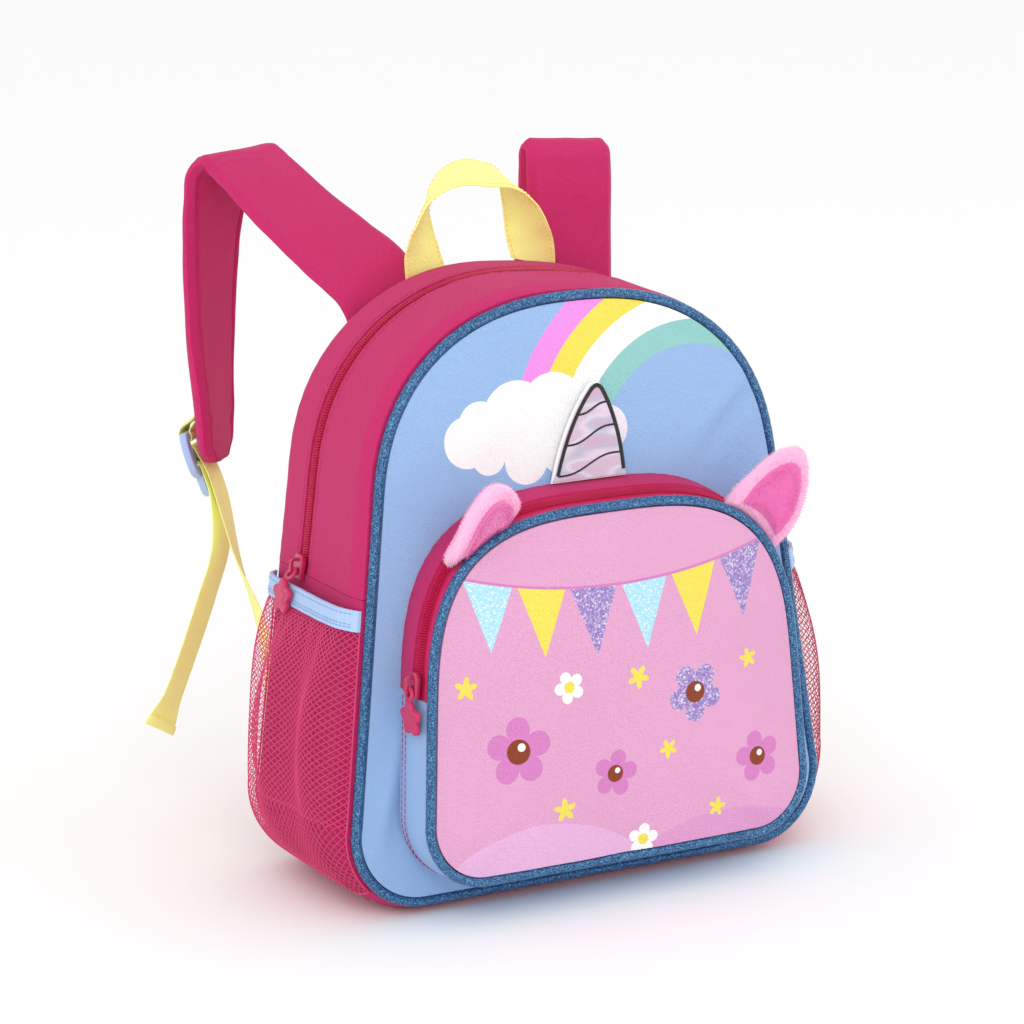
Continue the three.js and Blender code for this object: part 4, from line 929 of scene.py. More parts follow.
def gusset_point(share: Array, y_share: Array, inside: Array, y_front: Callable, y_rear: Callable) -> Array:
    """A point of the main gusset, a distance inside its outer face, and never below the floor."""
    x, z = np.moveaxis(BODY.offset(share, np.zeros_like(share)), -1, 0)
    y = lerp(y_rear(z), y_front(z), y_share)
    p = BODY.offset(share, gusset_out(y, z, gusset_sag(x, z)) - inside)
    return np.stack([p[..., 0], y, np.maximum(inside, p[..., 1])], axis=-1)


def pocket_point(share: Array, depth: Array, inside: Array) -> Array:
    """A point of the pocket's gusset at a share of its depth from the front panel to the piping."""
    bulge = 1.5 * np.sin(math.pi * np.clip(depth, 0, 1))
    p = POCKET.offset(share, CLOTH / 2 - inside + bulge + 1.5 * (1 - depth))
    x, z = p[..., 0], p[..., 1] + 5 * (1 - depth) * ((p[..., 1] - POCKET.base) / POCKET.height) ** 2
    rear = front_panel_y(x, z) - CLOTH / 2 - GAP
    front = pocket_seam_y(z) + PIPING_RADIUS + GAP
    return np.stack([x, lerp(rear, front, depth), z], axis=-1)


def mesh_grid(rows: int, columns: int) -> tuple[Array, Array]:
    """Two arrays of shares, 0 to 1, over a grid of points."""
    return np.meshgrid(np.linspace(0, 1, rows), np.linspace(0, 1, columns), indexing="ij")


class Body:
    """The main compartment: panels, piping, gussets and zip."""

    QUILT_HEIGHTS = (108, 200)
    zip_seam = BODY.share_at(156.0)

    def __init__(self, finishes: Finishes):
        """Args: finishes: the materials."""
        self.f = finishes

    def build(self) -> None:
        """Makes all its pieces."""
        self.front_panel()
        self.back_panel()
        self.piping()
        self.gussets()

    def front_panel(self) -> None:
        """The printed panel, domed to the front, with soft folds at its lower corners and right side."""
        make(
            "front panel", panel(BODY, front_seam_y, 4, 64, 240, self.folds), self.f.sky, ["front_panel"],
            "blue_cloth"
        )

    @staticmethod
    def folds(x: Array, z: Array) -> Array:
        """How far the panel's cloth stands out in front: puckers at the seam, and a few long folds."""
        inward = 1 - np.sqrt(1 - np.minimum(BODY.dome(x, z), 1))
        fold = (
            1.6 * bell(x - 0.25 * (z - 60), -112, 4) * bell(z, 66, 34)
            - 1.0 * bell(x - 0.25 * (z - 60), -103, 4) * bell(z, 60, 30)
        )
        fold += (
            2.3 * bell(x - 0.9 * (z - 232), 80, 6) * bell(z, 236, 20)
            - 1.8 * bell(x - 0.9 * (z - 222), 84, 5) * bell(z, 226, 20)
        )
        fold += 1.8 * bell(x - 0.7 * (z - 196), 100, 5) * bell(z, 200, 16)
        fold += 0.9 * bell(x + 0.8 * (z - 236), -84, 6) * bell(z, 238, 24)
        return fold * np.minimum(1, inward * 14) + 0.5 * ripple(x, z, 5, 44) * np.minimum(1, inward * 6)

    def back_panel(self) -> None:
        """The padded back, quilted by two seams across it."""
        u, r = np.meshgrid(np.linspace(0, 1, 240, endpoint=False), np.linspace(0.002, 1, 60), indexing="xy")
        rim = BODY.offset(u, np.full_like(u, CLOTH / 2))
        x, z = rim[..., 0] * r, np.maximum(0, BODY.middle + (rim[..., 1] - BODY.middle) * r)
        edge = smooth(r, 0.93, 1.0)
        quilt = sum(1.8 * bell(z, height, 3.2) for height in self.QUILT_HEIGHTS) * smooth(0.93 - r, 0, 0.05)
        rear = back_panel_y(x, z) - 2.6 * edge - quilt + 0.3 * ripple(x, z, 9, 40) * (1 - edge)
        front = REAR_Y - BACK_PAD / 2 + 1.0 * edge
        flat = np.stack([x, z], axis=-1)
        surface = plate(np.stack([x, rear, z], -1), np.stack([x, front, z], -1), flat)
        piece = make("back panel", surface, self.f.magenta, ["back_panel"], "magenta_cloth")
        lines = []
        for height in self.QUILT_HEIGHTS:
            half = float(BODY.half_at(np.array(height))) * 0.9
            x = np.linspace(-half, half, 200)
            z = np.full_like(x, height)
            line = np.stack([x, back_panel_y(x, z) - 1.8, z], axis=-1)
            lines.append(stitches(line, np.tile([0.0, 1.0, 0.0], (200, 1))))
        make("back panel stitching", lines[0].joined(lines[1]), self.f.thread)

    def piping(self) -> None:
        """The glitter piping round the front panel."""
        make(
            "main piping", piping_tube(BODY, front_seam_y, 420), self.f.piping, ["main_piping"],
            "glitter_piping"
        )

    def gussets(self) -> None:
        """The base, the two strips beside the zip, and the zip."""
        front = lambda z: front_seam_y(z) + PIPING_RADIUS + GAP
        rear = lambda z: np.full_like(z, REAR_Y - BACK_PAD / 2 - GAP)
        zip_front = lambda z: np.full_like(z, MAIN_ZIP_Y - ZIP_WIDTH / 2)
        zip_rear = lambda z: np.full_like(z, MAIN_ZIP_Y + ZIP_WIDTH / 2)
        gap = GAP / BODY.length
        low, high = self.zip_seam + gap, 1 - self.zip_seam - gap
        for name, node, start, end, y_front, y_rear, rows in (
            ("base gusset", "gusset_base", -self.zip_seam, self.zip_seam, front, rear, 260),
            ("front zip strip", "gusset_zip_front", low, high, front, lambda z: zip_front(z) - GAP, 260),
            ("rear zip strip", "gusset_zip_rear", low, high, lambda z: zip_rear(z) + GAP, rear, 260),
        ):
            u, v = mesh_grid(rows, 26)
            share = lerp(start, end, u)
            crease = self.creases(share, v) * (0.15 if node == "gusset_base" else 1)
            outer = gusset_point(share, v, -crease, y_front, y_rear)
            inner = gusset_point(share, v, CLOTH - crease, y_front, y_rear)
            flat = np.stack([share * BODY.length, outer[..., 1]], axis=-1)
            make(name, shell(outer, inner, flat), self.f.magenta, [node], "magenta_cloth")
        span = np.linspace(low, high, 420)
        for name, y in (
            ("front zip stitching", lambda z: zip_front(z) - 2.6),
            ("rear zip stitching", lambda z: zip_rear(z) + 2.6)
        ):
            line = gusset_point(span, np.zeros_like(span), np.zeros_like(span), y, y)
            make(name, stitches(line, outward(line)), self.f.thread)
        zipper(
            "main zip", "main_zip",
            lambda share, v, inside: gusset_point(share, v, inside, zip_front, zip_rear), low, high,
            BODY.length, self.f
        )

    @staticmethod
    def creases(share: Array, v: Array) -> Array:
        """Small puckers at the gusset's seams and broad waves between them."""
        edge = np.exp(-v * 9) + np.exp(-(1 - v) * 9)
        return (
            0.12 * edge * np.sin(share * 520 + 3 * np.sin(share * 61))
            + 0.45 * ripple(share * 900, v * 40, 11, 60)
        )


def outward(line: Array) -> Array:
    """Directions out from the middle of the bag, in the XZ plane."""
    return unit(np.stack([line[:, 0], np.zeros(len(line)), line[:, 2] - 120], axis=-1))


def panel(
    outline: ArchOutline, seam_y: Callable, height: float, rings: int, around: int, folds: Callable
) -> Surface:
    """A cloth panel inside a ring of piping, domed to the front."""
    u, r = np.meshgrid(np.linspace(0, 1, around, endpoint=False), np.linspace(0.002, 1, rings), indexing="xy")
    rim = outline.offset(u, np.full_like(u, -PIPING_RADIUS - GAP))
    x, z = rim[..., 0] * r, outline.middle + (rim[..., 1] - outline.middle) * r
    y = seam_y(z) - height * outline.dome(x, z) - folds(x, z)
    flat = np.stack([x, z], axis=-1)
    return plate(np.stack([x, y - CLOTH / 2, z], -1), np.stack([x, y + CLOTH / 2, z], -1), flat)


def piping_tube(outline: ArchOutline, seam_y: Callable, steps: int) -> Surface:
    """A ring of piping along an outline."""
    share = np.linspace(0, 1, steps, endpoint=False)
    p = outline.at(share)
    centre = np.stack([p[:, 0], seam_y(p[:, 1]), p[:, 1]], axis=-1)
    along = unit(np.roll(centre, -1, axis=0) - np.roll(centre, 1, axis=0))
    first = unit(np.cross(along, [0.0, 1.0, 0.0]))
    radius = PIPING_RADIUS * (1 + 0.03 * np.sin(share * 900))[:, None]
    return tube(centre, first * radius, np.cross(along, first) * radius, 12, True, outline.length)


def zipper(
    name: str, node: str, point: Callable, low: float, high: float, length: float, f: Finishes
) -> None:
    """A coil zip: a woven tape, and two rows of coil turns that mesh along its middle.

    Args: name, node: its name and CAD node. point: the surface at (share, v, inside). low, high: its span.
    length: the outline's length. f: the finishes.
    """
    u, v = mesh_grid(300, 9)
    share = lerp(low, high, u)
    recess = ZIP_RECESS + 0.15 * np.abs(v - 0.5)
    flat = np.stack([share * length, v * ZIP_WIDTH], axis=-1)
    surface = shell(point(share, v, recess), point(share, v, recess + 1.2), flat)
    make(name, surface, f.tape, [node], "zip_coil")
    count = int((high - low) * length / COIL_PITCH)
    at = lerp(low, high, (np.arange(count) + 0.5) / count)
    half = COIL_HALF_WIDTH / ZIP_WIDTH
    rows = []
    for side, shift in ((-1, 0.0), (1, 0.5)):
        s = at + shift * (high - low) / count
        near = point(s, np.full_like(s, 0.5 - side * 0.02), ZIP_RECESS - 0.55)
        far = point(s, np.full_like(s, 0.5 + side * half), ZIP_RECESS - 0.45)
        along = unit(np.roll(near, -1, axis=0) - near)
        along[-1] = along[-2]
        out = unit(np.cross(far - near, along)) * side
        rows.append(bars(near, far, along, out, 0.5, 0.62))
    make(name + " coil", rows[0].joined(rows[1]), f.coil, slot="zip_coil")


class Pocket:
    """The front pocket: its panel, piping, gusset and zip."""

    reach = POCKET_DEPTH - PIPING_RADIUS - GAP - CLOTH / 2
    start = (POCKET_ZIP - ZIP_WIDTH / 2) / reach
    end = (POCKET_ZIP + ZIP_WIDTH / 2) / reach
    seam = POCKET.share_at(112.0)

    def __init__(self, finishes: Finishes):
        """Args: finishes: the materials."""
        self.f = finishes

    def build(self) -> None:
        """Makes all its pieces."""
        make(
            "pocket panel", panel(POCKET, pocket_seam_y, 6, 60, 220, self.folds), self.f.meadow,
            ["pocket_panel"], "pink_cloth"
        )
        make(
            "pocket piping", piping_tube(POCKET, pocket_seam_y, 360), self.f.piping, ["pocket_piping"],
            "glitter_piping"
        )
        gap, seam_gap = GAP / self.reach, GAP / POCKET.length
        low, high = self.seam + seam_gap, 1 - self.seam - seam_gap
        for name, node, material, slot, start, end, near, far in (
            (
                "pocket base gusset", "pocket_gusset_base", self.f.blue, "blue_cloth", -self.seam, self.seam,
                0, 1
            ),
            (
                "pocket rear strip", "pocket_gusset_rear", self.f.magenta, "magenta_cloth", low, high, 0,
                self.start - gap
            ),
            (
                "pocket front strip", "pocket_gusset_front", self.f.magenta, "magenta_cloth", low, high,
                self.end + gap, 1
            ),
        ):
            u, v = mesh_grid(220, 12)
            share, depth = lerp(start, end, u), lerp(near, far, v)
            crease = Body.creases(share, depth) * 0.7
            outer, inner = pocket_point(share, depth, -crease), pocket_point(share, depth, CLOTH - crease)
            flat = np.stack([share * POCKET.length, depth * self.reach], axis=-1)
            make(name, shell(outer, inner, flat), material, [node], slot)
        zip_at = lambda share, v, inside: pocket_point(share, lerp(self.start, self.end, v), inside)
        zipper("pocket zip", "pocket_zip", zip_at, low, high, POCKET.length, self.f)
        for name, depth in (("front", 0.3), ("rear", 0.14)):
            share = np.linspace(-self.seam + 0.003, self.seam - 0.003, 400)
            line = pocket_point(share, np.full_like(share, depth), np.full_like(share, 0.0))
            make(f"pocket {name} stitching", stitches(line, outward(line), 3.0, 0.8, 0.6), self.f.thread)

    @staticmethod
    def folds(x: Array, z: Array) -> Array:
        """How far the panel's cloth stands out: puckers at the lower corners."""
        inward = 1 - np.sqrt(1 - np.minimum(POCKET.dome(x, z), 1))
        corner = (
            bell(z, 34, 16)
            * (bell(np.abs(x) + 0.8 * (z - 34), 78, 5) + 0.7 * bell(np.abs(x) + 0.5 * (z - 34), 92, 4))
        )
        return (1.5 * corner + 0.45 * ripple(x, z, 15, 46)) * np.minimum(1, inward * 8)


class SidePocket:
    """A net side pocket and its elastic. FLAT is the size that its net was cut to, in metres."""

    YARN, FLAT, CELLS, ROWS = 0.66, (0.150, 0.135), 33, 78
    BAND, BAND_LENGTH, BAND_THICKNESS = 10, 92, 1.8
    top, elastic_top, hem = (BODY.share_at(h) for h in (141.0, 151.0, 17.0))

    def __init__(self, side: int, finishes: Finishes):
        """Args: side: -1 left, 1 right. finishes: the materials."""
        self.side, self.word, self.f = side, SIDE_WORD[side], finishes

    def out(self, drop: Array, across: Array) -> Array:
        """How far the net stands off the gusset, with soft upright folds below the elastic."""
        pillow = 1 - np.abs(2 * across - 1) ** 4
        swell = 1 + 0.9 * np.maximum(0, 1 - across / 0.3)
        belly = 15 * (1.1 - 0.4 * across) * np.sin(math.pi * drop**0.9) ** 0.8
        fold = (
            np.sin(2 * math.pi * (2.3 * across + 0.22 * np.sin(3 * drop) + 0.1))
            * np.sin(math.pi * np.minimum(1, drop * 1.1)) ** 0.7
        )
        gather = np.sin(2 * math.pi * 9 * across) * np.exp(-drop * 9) * (1 - np.exp(-drop * 30))
        lift = 5 * swell * (1 - drop) ** 1.5 + belly
        return 0.5 + lift * pillow * (1 + 0.34 * fold) + gather * pillow

    def point(self, share: Array, across: Array, out: Array) -> Array:
        """A point off the gusset, at a share of the outline and of the way from rear to front."""
        z = BODY.offset(share, np.zeros_like(share))[..., 1]
        y = lerp(REAR_Y - BACK_PAD / 2 - GAP - 3, front_seam_y(z) + PIPING_RADIUS + GAP, across)
        p = BODY.offset(share, gusset_out(y, z) + out)
        return np.stack([self.side * p[..., 0], y, np.maximum(0.0, p[..., 1])], axis=-1)

    def net_point(self, drop: Array, across: Array, lift: float) -> Array:
        """A point of the net, lifted off its middle."""
        share = lerp(self.top - GAP / BODY.length, self.hem, drop)
        return self.point(share, across, self.out(drop, across) + lift)

    def build(self) -> None:
        """Makes the net's yarns and the elastic band."""
        self.net()
        self.elastic()

    def net(self) -> None:
        """Diamond mesh: yarns from each grid point to the next row. Odd rows are half a cell along."""
        columns, rows = self.CELLS, self.ROWS
        i, j = np.meshgrid(np.arange(rows), np.arange(columns + 1), indexing="ij")
        shift = (i % 2) * 0.5
        start, end = [], []
        for step in (-0.5, 0.5):
            start.append(np.stack([i / rows, (j + shift) / columns], axis=-1).reshape(-1, 2))
            end.append(np.stack([(i + 1) / rows, (j + shift + step) / columns], axis=-1).reshape(-1, 2))
        start, end = np.vstack(start), np.vstack(end)
        keep = (np.minimum(start[:, 1], end[:, 1]) >= 0) & (np.maximum(start[:, 1], end[:, 1]) <= 1)
        start, end = start[keep], end[keep]
        a, b = (self.net_point(p[:, 0], p[:, 1], 0.6) for p in (start, end))
        out = unit(self.net_point(start[:, 0], start[:, 1], 1.6) - a)
        surface = bars(a, b, unit(np.cross(b - a, out)), out, self.YARN / 2, 0.22)
        drop = np.linspace(0, 1, 120)
        edges = [self.net_point(drop, np.full_like(drop, across), 0.3) for across in (0.0, 1.0)]
        edges.append(self.net_point(np.ones(80), np.linspace(0, 1, 80), 0.4))
        for line in edges:
            along = unit(np.gradient(line, axis=0))
            first = unit(np.cross(along, np.tile([float(self.side), 0.0, 0.0], (len(line), 1))))
            surface = surface.joined(tube(line, first * 0.6, np.cross(along, first) * 0.5, 6, False, 100))
        piece = make(f"net pocket {self.word}", surface, self.f.net, [f"net_pocket_{self.word}"], "net")

    def band_out(self, across: Array) -> Array:
        """How far the elastic stands off the gusset, with a slight wave."""
        wave = 0.12 * np.sin(across * 2 * math.pi * 6) * np.sin(math.pi * across)
        return self.out(np.zeros_like(across), across) + wave

    def elastic(self) -> None:
        """The ribbed band along the pocket's top, with its stitch lines."""
        u, v = mesh_grid(12, 90)
        share = lerp(self.top, self.elastic_top, u)
        out = self.band_out(v)
        outer, inner = self.point(share, v, out + self.BAND_THICKNESS), self.point(share, v, out)
        flat = np.stack([v * self.BAND_LENGTH, u * self.BAND], axis=-1)
        make(
            f"elastic {self.word}", shell(outer, inner, flat), self.f.elastic, [f"elastic_{self.word}"],
            "elastic"
        )
        for k, level in enumerate((0.18, 0.32, 0.82)):
            across = np.linspace(0.02, 0.98, 120)
            rows = np.full_like(across, lerp(self.top, self.elastic_top, level))
            line = self.point(rows, across, self.band_out(across) + self.BAND_THICKNESS)
            make(
                f"elastic {self.word} stitching {k + 1}",
                stitches(line, np.tile([float(self.side), 0, 0.1], (120, 1)), 2.4), self.f.pale_thread
            )


def band_surface(
    route: BandRoute, steps: int, columns: int, width: Callable, half: Callable, under: Callable | None = None
) -> Surface:
    """A band along a route: at + across c w / 2, plus normal half(t, c) or minus normal under(t, c).

    c goes from -1 to 1 across the band.
    """
    t = route.centres.by_length(steps)
    frames = route.frames(t)
    c = np.linspace(-1, 1, columns)
    middle = frames.at[:, None] + frames.across[:, None] * (c[None, :, None] * width(t)[:, None, None] / 2)
    upper, lower = (
        f(t[:, None], c[None, :])[..., None] * frames.normal[:, None] for f in (half, under or half)
    )
    flat = np.stack(
        np.meshgrid(
            np.linspace(0, route.centres.length(), steps), c * float(width(t[:1])[0]) / 2, indexing="ij"
        ),
        axis=-1
    )
    return shell(middle + upper, middle - lower, flat)


def webbing_half(t: Array, c: Array, half: float) -> Array:
    """Half a webbing's thickness: rounded edges."""
    return half * (0.35 + 0.65 * (1 - np.abs(c) ** 8)) + 0 * t


class Handle:
    """The carrying loop. Its rows: span, rise, yaw and tilt."""

    WIDTH, THICKNESS, MIDDLE, HALF_SPAN, HEIGHT = 24.0, 1.8, -4, 31, 47
    ROWS = (
        (-0.99, 0, 8, 12), (-1.055, 0.22, 17, 8), (-1.077, 0.44, 33, 8), (-1.03, 0.64, 50, 9),
        (-0.89, 0.85, 58, 15), (-0.66, 0.955, 61, 22), (-0.316, 1, 63, 24), (0.1, 0.955, 70, 22),
        (0.455, 0.89, 85, 15), (0.62, 0.765, 100, 8), (0.75, 0.605, 115, 4), (0.83, 0.44, 127, 2),
        (0.913, 0.22, 153, 5), (0.974, 0, 172, 12),
    )

    def __init__(self, finishes: Finishes):
        """Args: finishes: the materials."""
        self.f = finishes

    def build(self) -> None:
        """Makes the loop and its two stitch lines."""
        centres, widths = [], []
        for span, rise, yaw, tilt in self.ROWS:
            x = self.MIDDLE + span * self.HALF_SPAN
            low = float(np.interp(-abs(x), -BODY.half[::-1, 0][:600][::-1], BODY.half[::-1, 1][:600][::-1]))
            centres.append(np.array([x, REAR_Y, low + CLOTH / 2 + GAP + 0.4 + rise * self.HEIGHT]))
            widths.append(width_direction(yaw, tilt))
        route = BandRoute(centres, widths, square=False)
        surface = band_surface(
            route, 220, 13, lambda t: np.full_like(t, self.WIDTH),
            lambda t, c: webbing_half(t, c, self.THICKNESS / 2)
        )
        make("handle", surface, self.f.webbing, ["handle"], "webbing")
        self.stitching(route)

    def stitching(self, route: BandRoute) -> None:
        """A stitch line along each edge, on both faces."""
        frames = route.frames(route.centres.by_length(300))
        rows = []
        for c in (-0.86, 0.86):
            for face in (-1, 1):
                line = frames.at + frames.across * c * self.WIDTH / 2 + frames.normal * face * 0.85
                rows.append(stitches(line, frames.normal * face, 2.6))
        make("handle stitching", together(rows), self.f.gold_thread)


@dataclass(frozen=True)
class StrapTable:
    """One strap's rows.

    Strap: (side, back, up, yaw, tilt). Tail: (side, back, down, yaw, tilt).
    Webbing: (share, near, in, yaw, tilt).
    """

    strap: tuple
    tail: tuple
    webbing: tuple


LEFT_STRAP = StrapTable(
    strap=(
        (0.005, 0, 0, 0, 4), (0, 0, 0.04, 5, 12), (-0.018, 0.028, 0.095, 20, 26),
        (-0.049, 0.103, 0.143, 27, 26), (-0.083, 0.19, 0.195, 24, 18), (-0.112, 0.273, 0.248, 15, 8),
        (-0.126, 0.317, 0.269, 11, 4),
        (-0.139, 0.347, 0.245, 14, 3), (-0.149, 0.363, 0.187, 26, 1), (-0.156, 0.368, 0.107, 32, 0),
        (-0.163, 0.363, -0.013, 38, 0), (-0.164, 0.353, -0.153, 46, 0), (-0.165, 0.348, -0.217, 49, 0),
        (-0.164, 0.345, -0.257, 50, 0),
    ),
    tail=(
        (0.006, -0.03, 0.2, 38, 0), (-0.075, -0.045, 0.43, 35, 3), (-0.24, -0.08, 0.79, 34, 3),
        (-0.32, -0.1, 0.93, 14, -4)
    ),
    webbing=((0.25, 0.06, 0.01, 51, -33), (0.5, 0.12, 0.04, 79, -41), (0.75, 0.1, 0.045, 92, -42)),
)
RIGHT_STRAP = StrapTable(
    strap=(
        (0.005, 0, 0, 0, -4), (0.005, 0.002, 0.083, 0, -4), (0.005, 0.004, 0.18, 0, -4),
        (0.005, 0.005, 0.257, 0, -4), (0.005, 0.009, 0.285, 0, -4), (0.005, 0.019, 0.294, 0, -4),
        (0.005, 0.029, 0.285, 1, -4),
        (0.005, 0.032, 0.257, 1, -4), (0.003, 0.035, 0.18, 2, -3), (0.003, 0.053, 0.057, 2, -2),
        (0.008, 0.087, -0.087, -4, 0), (0.017, 0.112, -0.22, -8, 0), (0.018, 0.113, -0.262, -10, 0),
    ),
    tail=(
        (0, -0.03, 0.2, -8, 0), (0.01, -0.03, 0.45, -6, 0), (0.02, -0.01, 0.7, -4, 0), (0.02, 0, 0.96, -4, 0)
    ),
    webbing=((0.25, 0, 0, -25, 5), (0.5, 0, 0, -40, 20), (0.75, 0, 0, -60, 50)),
)


class Strap:
    """A padded shoulder strap with its loop, buckle, webbing and tail."""

    LENGTH, WIDTH, THICKNESS, ROOT_X = 300.0, 48.0, 7.5, 50.5
    WEBBING, WEBBING_WIDTH, TAIL, HEM = 1.5, 20.0, 128.0, 9
    TOP_BAR, BAR, SLOT, TAB, BUCKLE_WIDTH, BUCKLE = 3.0, 4.0, 6.0, 12.0, 31.0, 4.0

    def __init__(self, side: int, rows: StrapTable, finishes: Finishes):
        """Args: side: -1 left, 1 right. rows: its tables. finishes: the materials."""
        self.side, self.word, self.rows, self.f = side, SIDE_WORD[side], rows, finishes
        self.clear = GAP + self.WEBBING / 2
        self.face = self.BUCKLE / 2 + self.clear
        height = self.TOP_BAR + 2 * self.BAR + 2 * self.SLOT
        self.top_bar = (self.TOP_BAR - height) / 2 - 4
        self.upper_slot = self.top_bar + (self.TOP_BAR + self.SLOT) / 2
        self.middle_bar = self.upper_slot + (self.SLOT + self.BAR) / 2
        self.lower_slot = self.middle_bar + (self.BAR + self.SLOT) / 2
        self.lower_bar = self.lower_slot + (self.SLOT + self.BAR) / 2
        self.sewn_end = height / 2 + 13
        root_z = BODY.top - 33
        root = np.array([side * self.ROOT_X, 0, root_z])
        root[1] = float(back_panel_y(np.array(self.ROOT_X), np.array(root_z))) + GAP + self.THICKNESS / 2
        table = np.array(rows.strap)
        self.route = BandRoute(
            root + table[:, :3] * self.LENGTH, [width_direction(*row[3:]) for row in rows.strap]
        )
        self.down, self.right, self.out, self.at = self.buckle_frame()

    def buckle_frame(self) -> tuple:
        """The buckle's directions down, right and out, and its middle."""
        end = self.route.frames(1.0)
        tangent, normal = end.along[0], end.normal[0]
        out = -normal if normal[1] < 0 else normal
        right = np.cross(tangent, out)
        a = math.radians(-14)
        down = tangent * math.cos(a) + np.cross(right, tangent) * math.sin(a)
        return down, right, np.cross(right, down), end.at[0] + out * 9.8

    def local(self, down: float, out: float, right: float = 0.0) -> Array:
        """A point in the buckle's frame."""
        return self.at + self.down * down + self.out * out + self.right * right

    def build(self) -> None:
        """Makes all its pieces."""
        self.pad()
        self.buckle()
        self.loop()
        self.webbing()

    def pad(self) -> None:
        """The padded strap: a flat seam allowance at each edge, a full middle, and folds across its bends."""
        width = lambda t: self.WIDTH * (1 - 0.5 * (np.maximum(0, t - 0.92) / 0.08) ** 2)
        bend = 0.46 if self.side < 0 else 0.42

        def face(t: Array, c: Array, inner: bool) -> Array:
            """Half the thickness. The inner face also has a seam's groove and creases."""
            edge = 1 - 0.72 * smooth(np.abs(c), 0.84, 1.0) ** 1.5
            groove = 0.34 * bell(np.abs(c), 0.76, 0.04) if inner else 0.0
            strength = 1.6 if inner else 0.7
            crease = 0.10 * np.sin(t * 230 + 2 * np.sin(c * 3)) * bell(t, bend, 0.05) * strength
            if inner:
                pinch = 0.35 + bell(np.abs(c), 0.66, 0.2)
                crease = crease + 0.13 * ripple(t * self.LENGTH + 14 * c, c * 20, 5, 15) * pinch
            slack = 0.07 * ripple(t * 300, c * 24, 21 + self.side + 4 * inner, 34)
            return self.THICKNESS / 2 * (edge - groove + crease + slack)

        up = self.route.frames(np.array([bend])).normal[0]
        outer_sign = 1.0 if up[2] > 0 else -1.0
        surface = band_surface(
            self.route, 300, 45, width,
            lambda t, c: face(t, c, outer_sign < 0),
            lambda t, c: face(t, c, outer_sign > 0),
        )
        piece = make(
            f"shoulder strap {self.word}", surface, self.f.magenta, [f"shoulder_strap_{self.word}"],
            "magenta_cloth"
        )
        frames = self.route.frames(self.route.centres.by_length(500)[12:-14])
        rows = []
        inner = -outer_sign
        for c in (-0.76, 0.76):
            raised = frames.normal * inner * self.THICKNESS / 2 * 0.66
            line = frames.at + frames.across * c * self.WIDTH / 2 + raised
            rows.append(stitches(line, frames.normal * inner))
        make(f"shoulder strap {self.word} stitching", together(rows), self.f.thread)

    def buckle(self) -> None:
        """The ladder lock, with rounded wings and a lift tab."""
        w, tab = self.BUCKLE_WIDTH / 2, 8.0
        top, low = self.top_bar - self.TOP_BAR / 2, self.lower_bar + self.BAR / 2
        middle = (top + low) / 2
        right = np.vstack([
            bezier((w * 0.72, top), (w * 0.95, top), (w, top + 5), (w, middle)),
            bezier((w, middle), (w, low - 4), (w * 0.9, low), (tab, low)),
            bezier((tab * 0.85, low + 7.2), (tab * 0.75, low + 12), (0, low + 12), (0, low + 10.8), 6),
        ])
        outline = np.vstack([right, right[-2::-1] * [-1, 1]])
        half = self.WEBBING_WIDTH / 2 + 1
        slots = [
            np.array([[-half, s - 3], [-half, s + 3], [half, s + 3], [half, s - 3]])
            for s in (self.upper_slot, self.lower_slot)
        ]
        extruded(
            f"buckle {self.word}", [outline, *slots], self.BUCKLE, 0.9,
            placing(self.right, self.down, self.out, self.at), self.f.plastic, [f"buckle_{self.word}"],
            "buckle_plastic"
        )

    def on_strap(self, up: float, lift: float) -> tuple[Array, Array]:
        """A row of the loop on the strap's outer face."""
        frame_at = self.route.from_end(up)
        sign = np.sign(frame_at.normal[0, 1])
        return (
            frame_at.at[0] + frame_at.normal[0] * sign * (self.THICKNESS / 2 + self.clear + lift),
            frame_at.across[0]
        )

    def loop(self) -> None:
        """The webbing loop that holds the buckle: sewn to the strap, round the top bar, and back."""
        past = self.top_bar + self.TOP_BAR / 2 + self.clear
        face = self.face
        around = (
            (self.top_bar - self.TOP_BAR * 0.8, -face), (self.top_bar + 0.5, -face),
            (past - 0.3, -face * 0.8), (past, 0),
            (past - 0.3, face * 0.8), (self.top_bar + 0.5, face),
            (self.top_bar - self.TOP_BAR * 0.8, face * 0.95),
            (self.top_bar - self.TOP_BAR * 1.6, face * 0.4),
        )
        second = self.WEBBING + GAP + 0.5
        rows = [self.on_strap(self.sewn_end + up, 0.5) for up in (16, 8, 0)]
        rows += [(self.local(*row), self.right) for row in around]
        rows += [self.on_strap(self.sewn_end + up, second) for up in (0, 8, 16)]
        self.narrow(f"buckle loop {self.word}", f"buckle_loop_{self.word}", rows, 140)

    def narrow(self, name: str, node: str, rows: Sequence[tuple[Array, Array]], steps: int) -> BandRoute:
        """A band of narrow webbing through rows of a point and a width direction."""
        route = BandRoute([row[0] for row in rows], [row[1] for row in rows])
        surface = band_surface(
            route, steps, 11, lambda t: np.full_like(t, self.WEBBING_WIDTH),
            lambda t, c: webbing_half(t, c, self.WEBBING / 2)
        )
        make(name, surface, self.f.webbing, [node], "webbing")
        return route

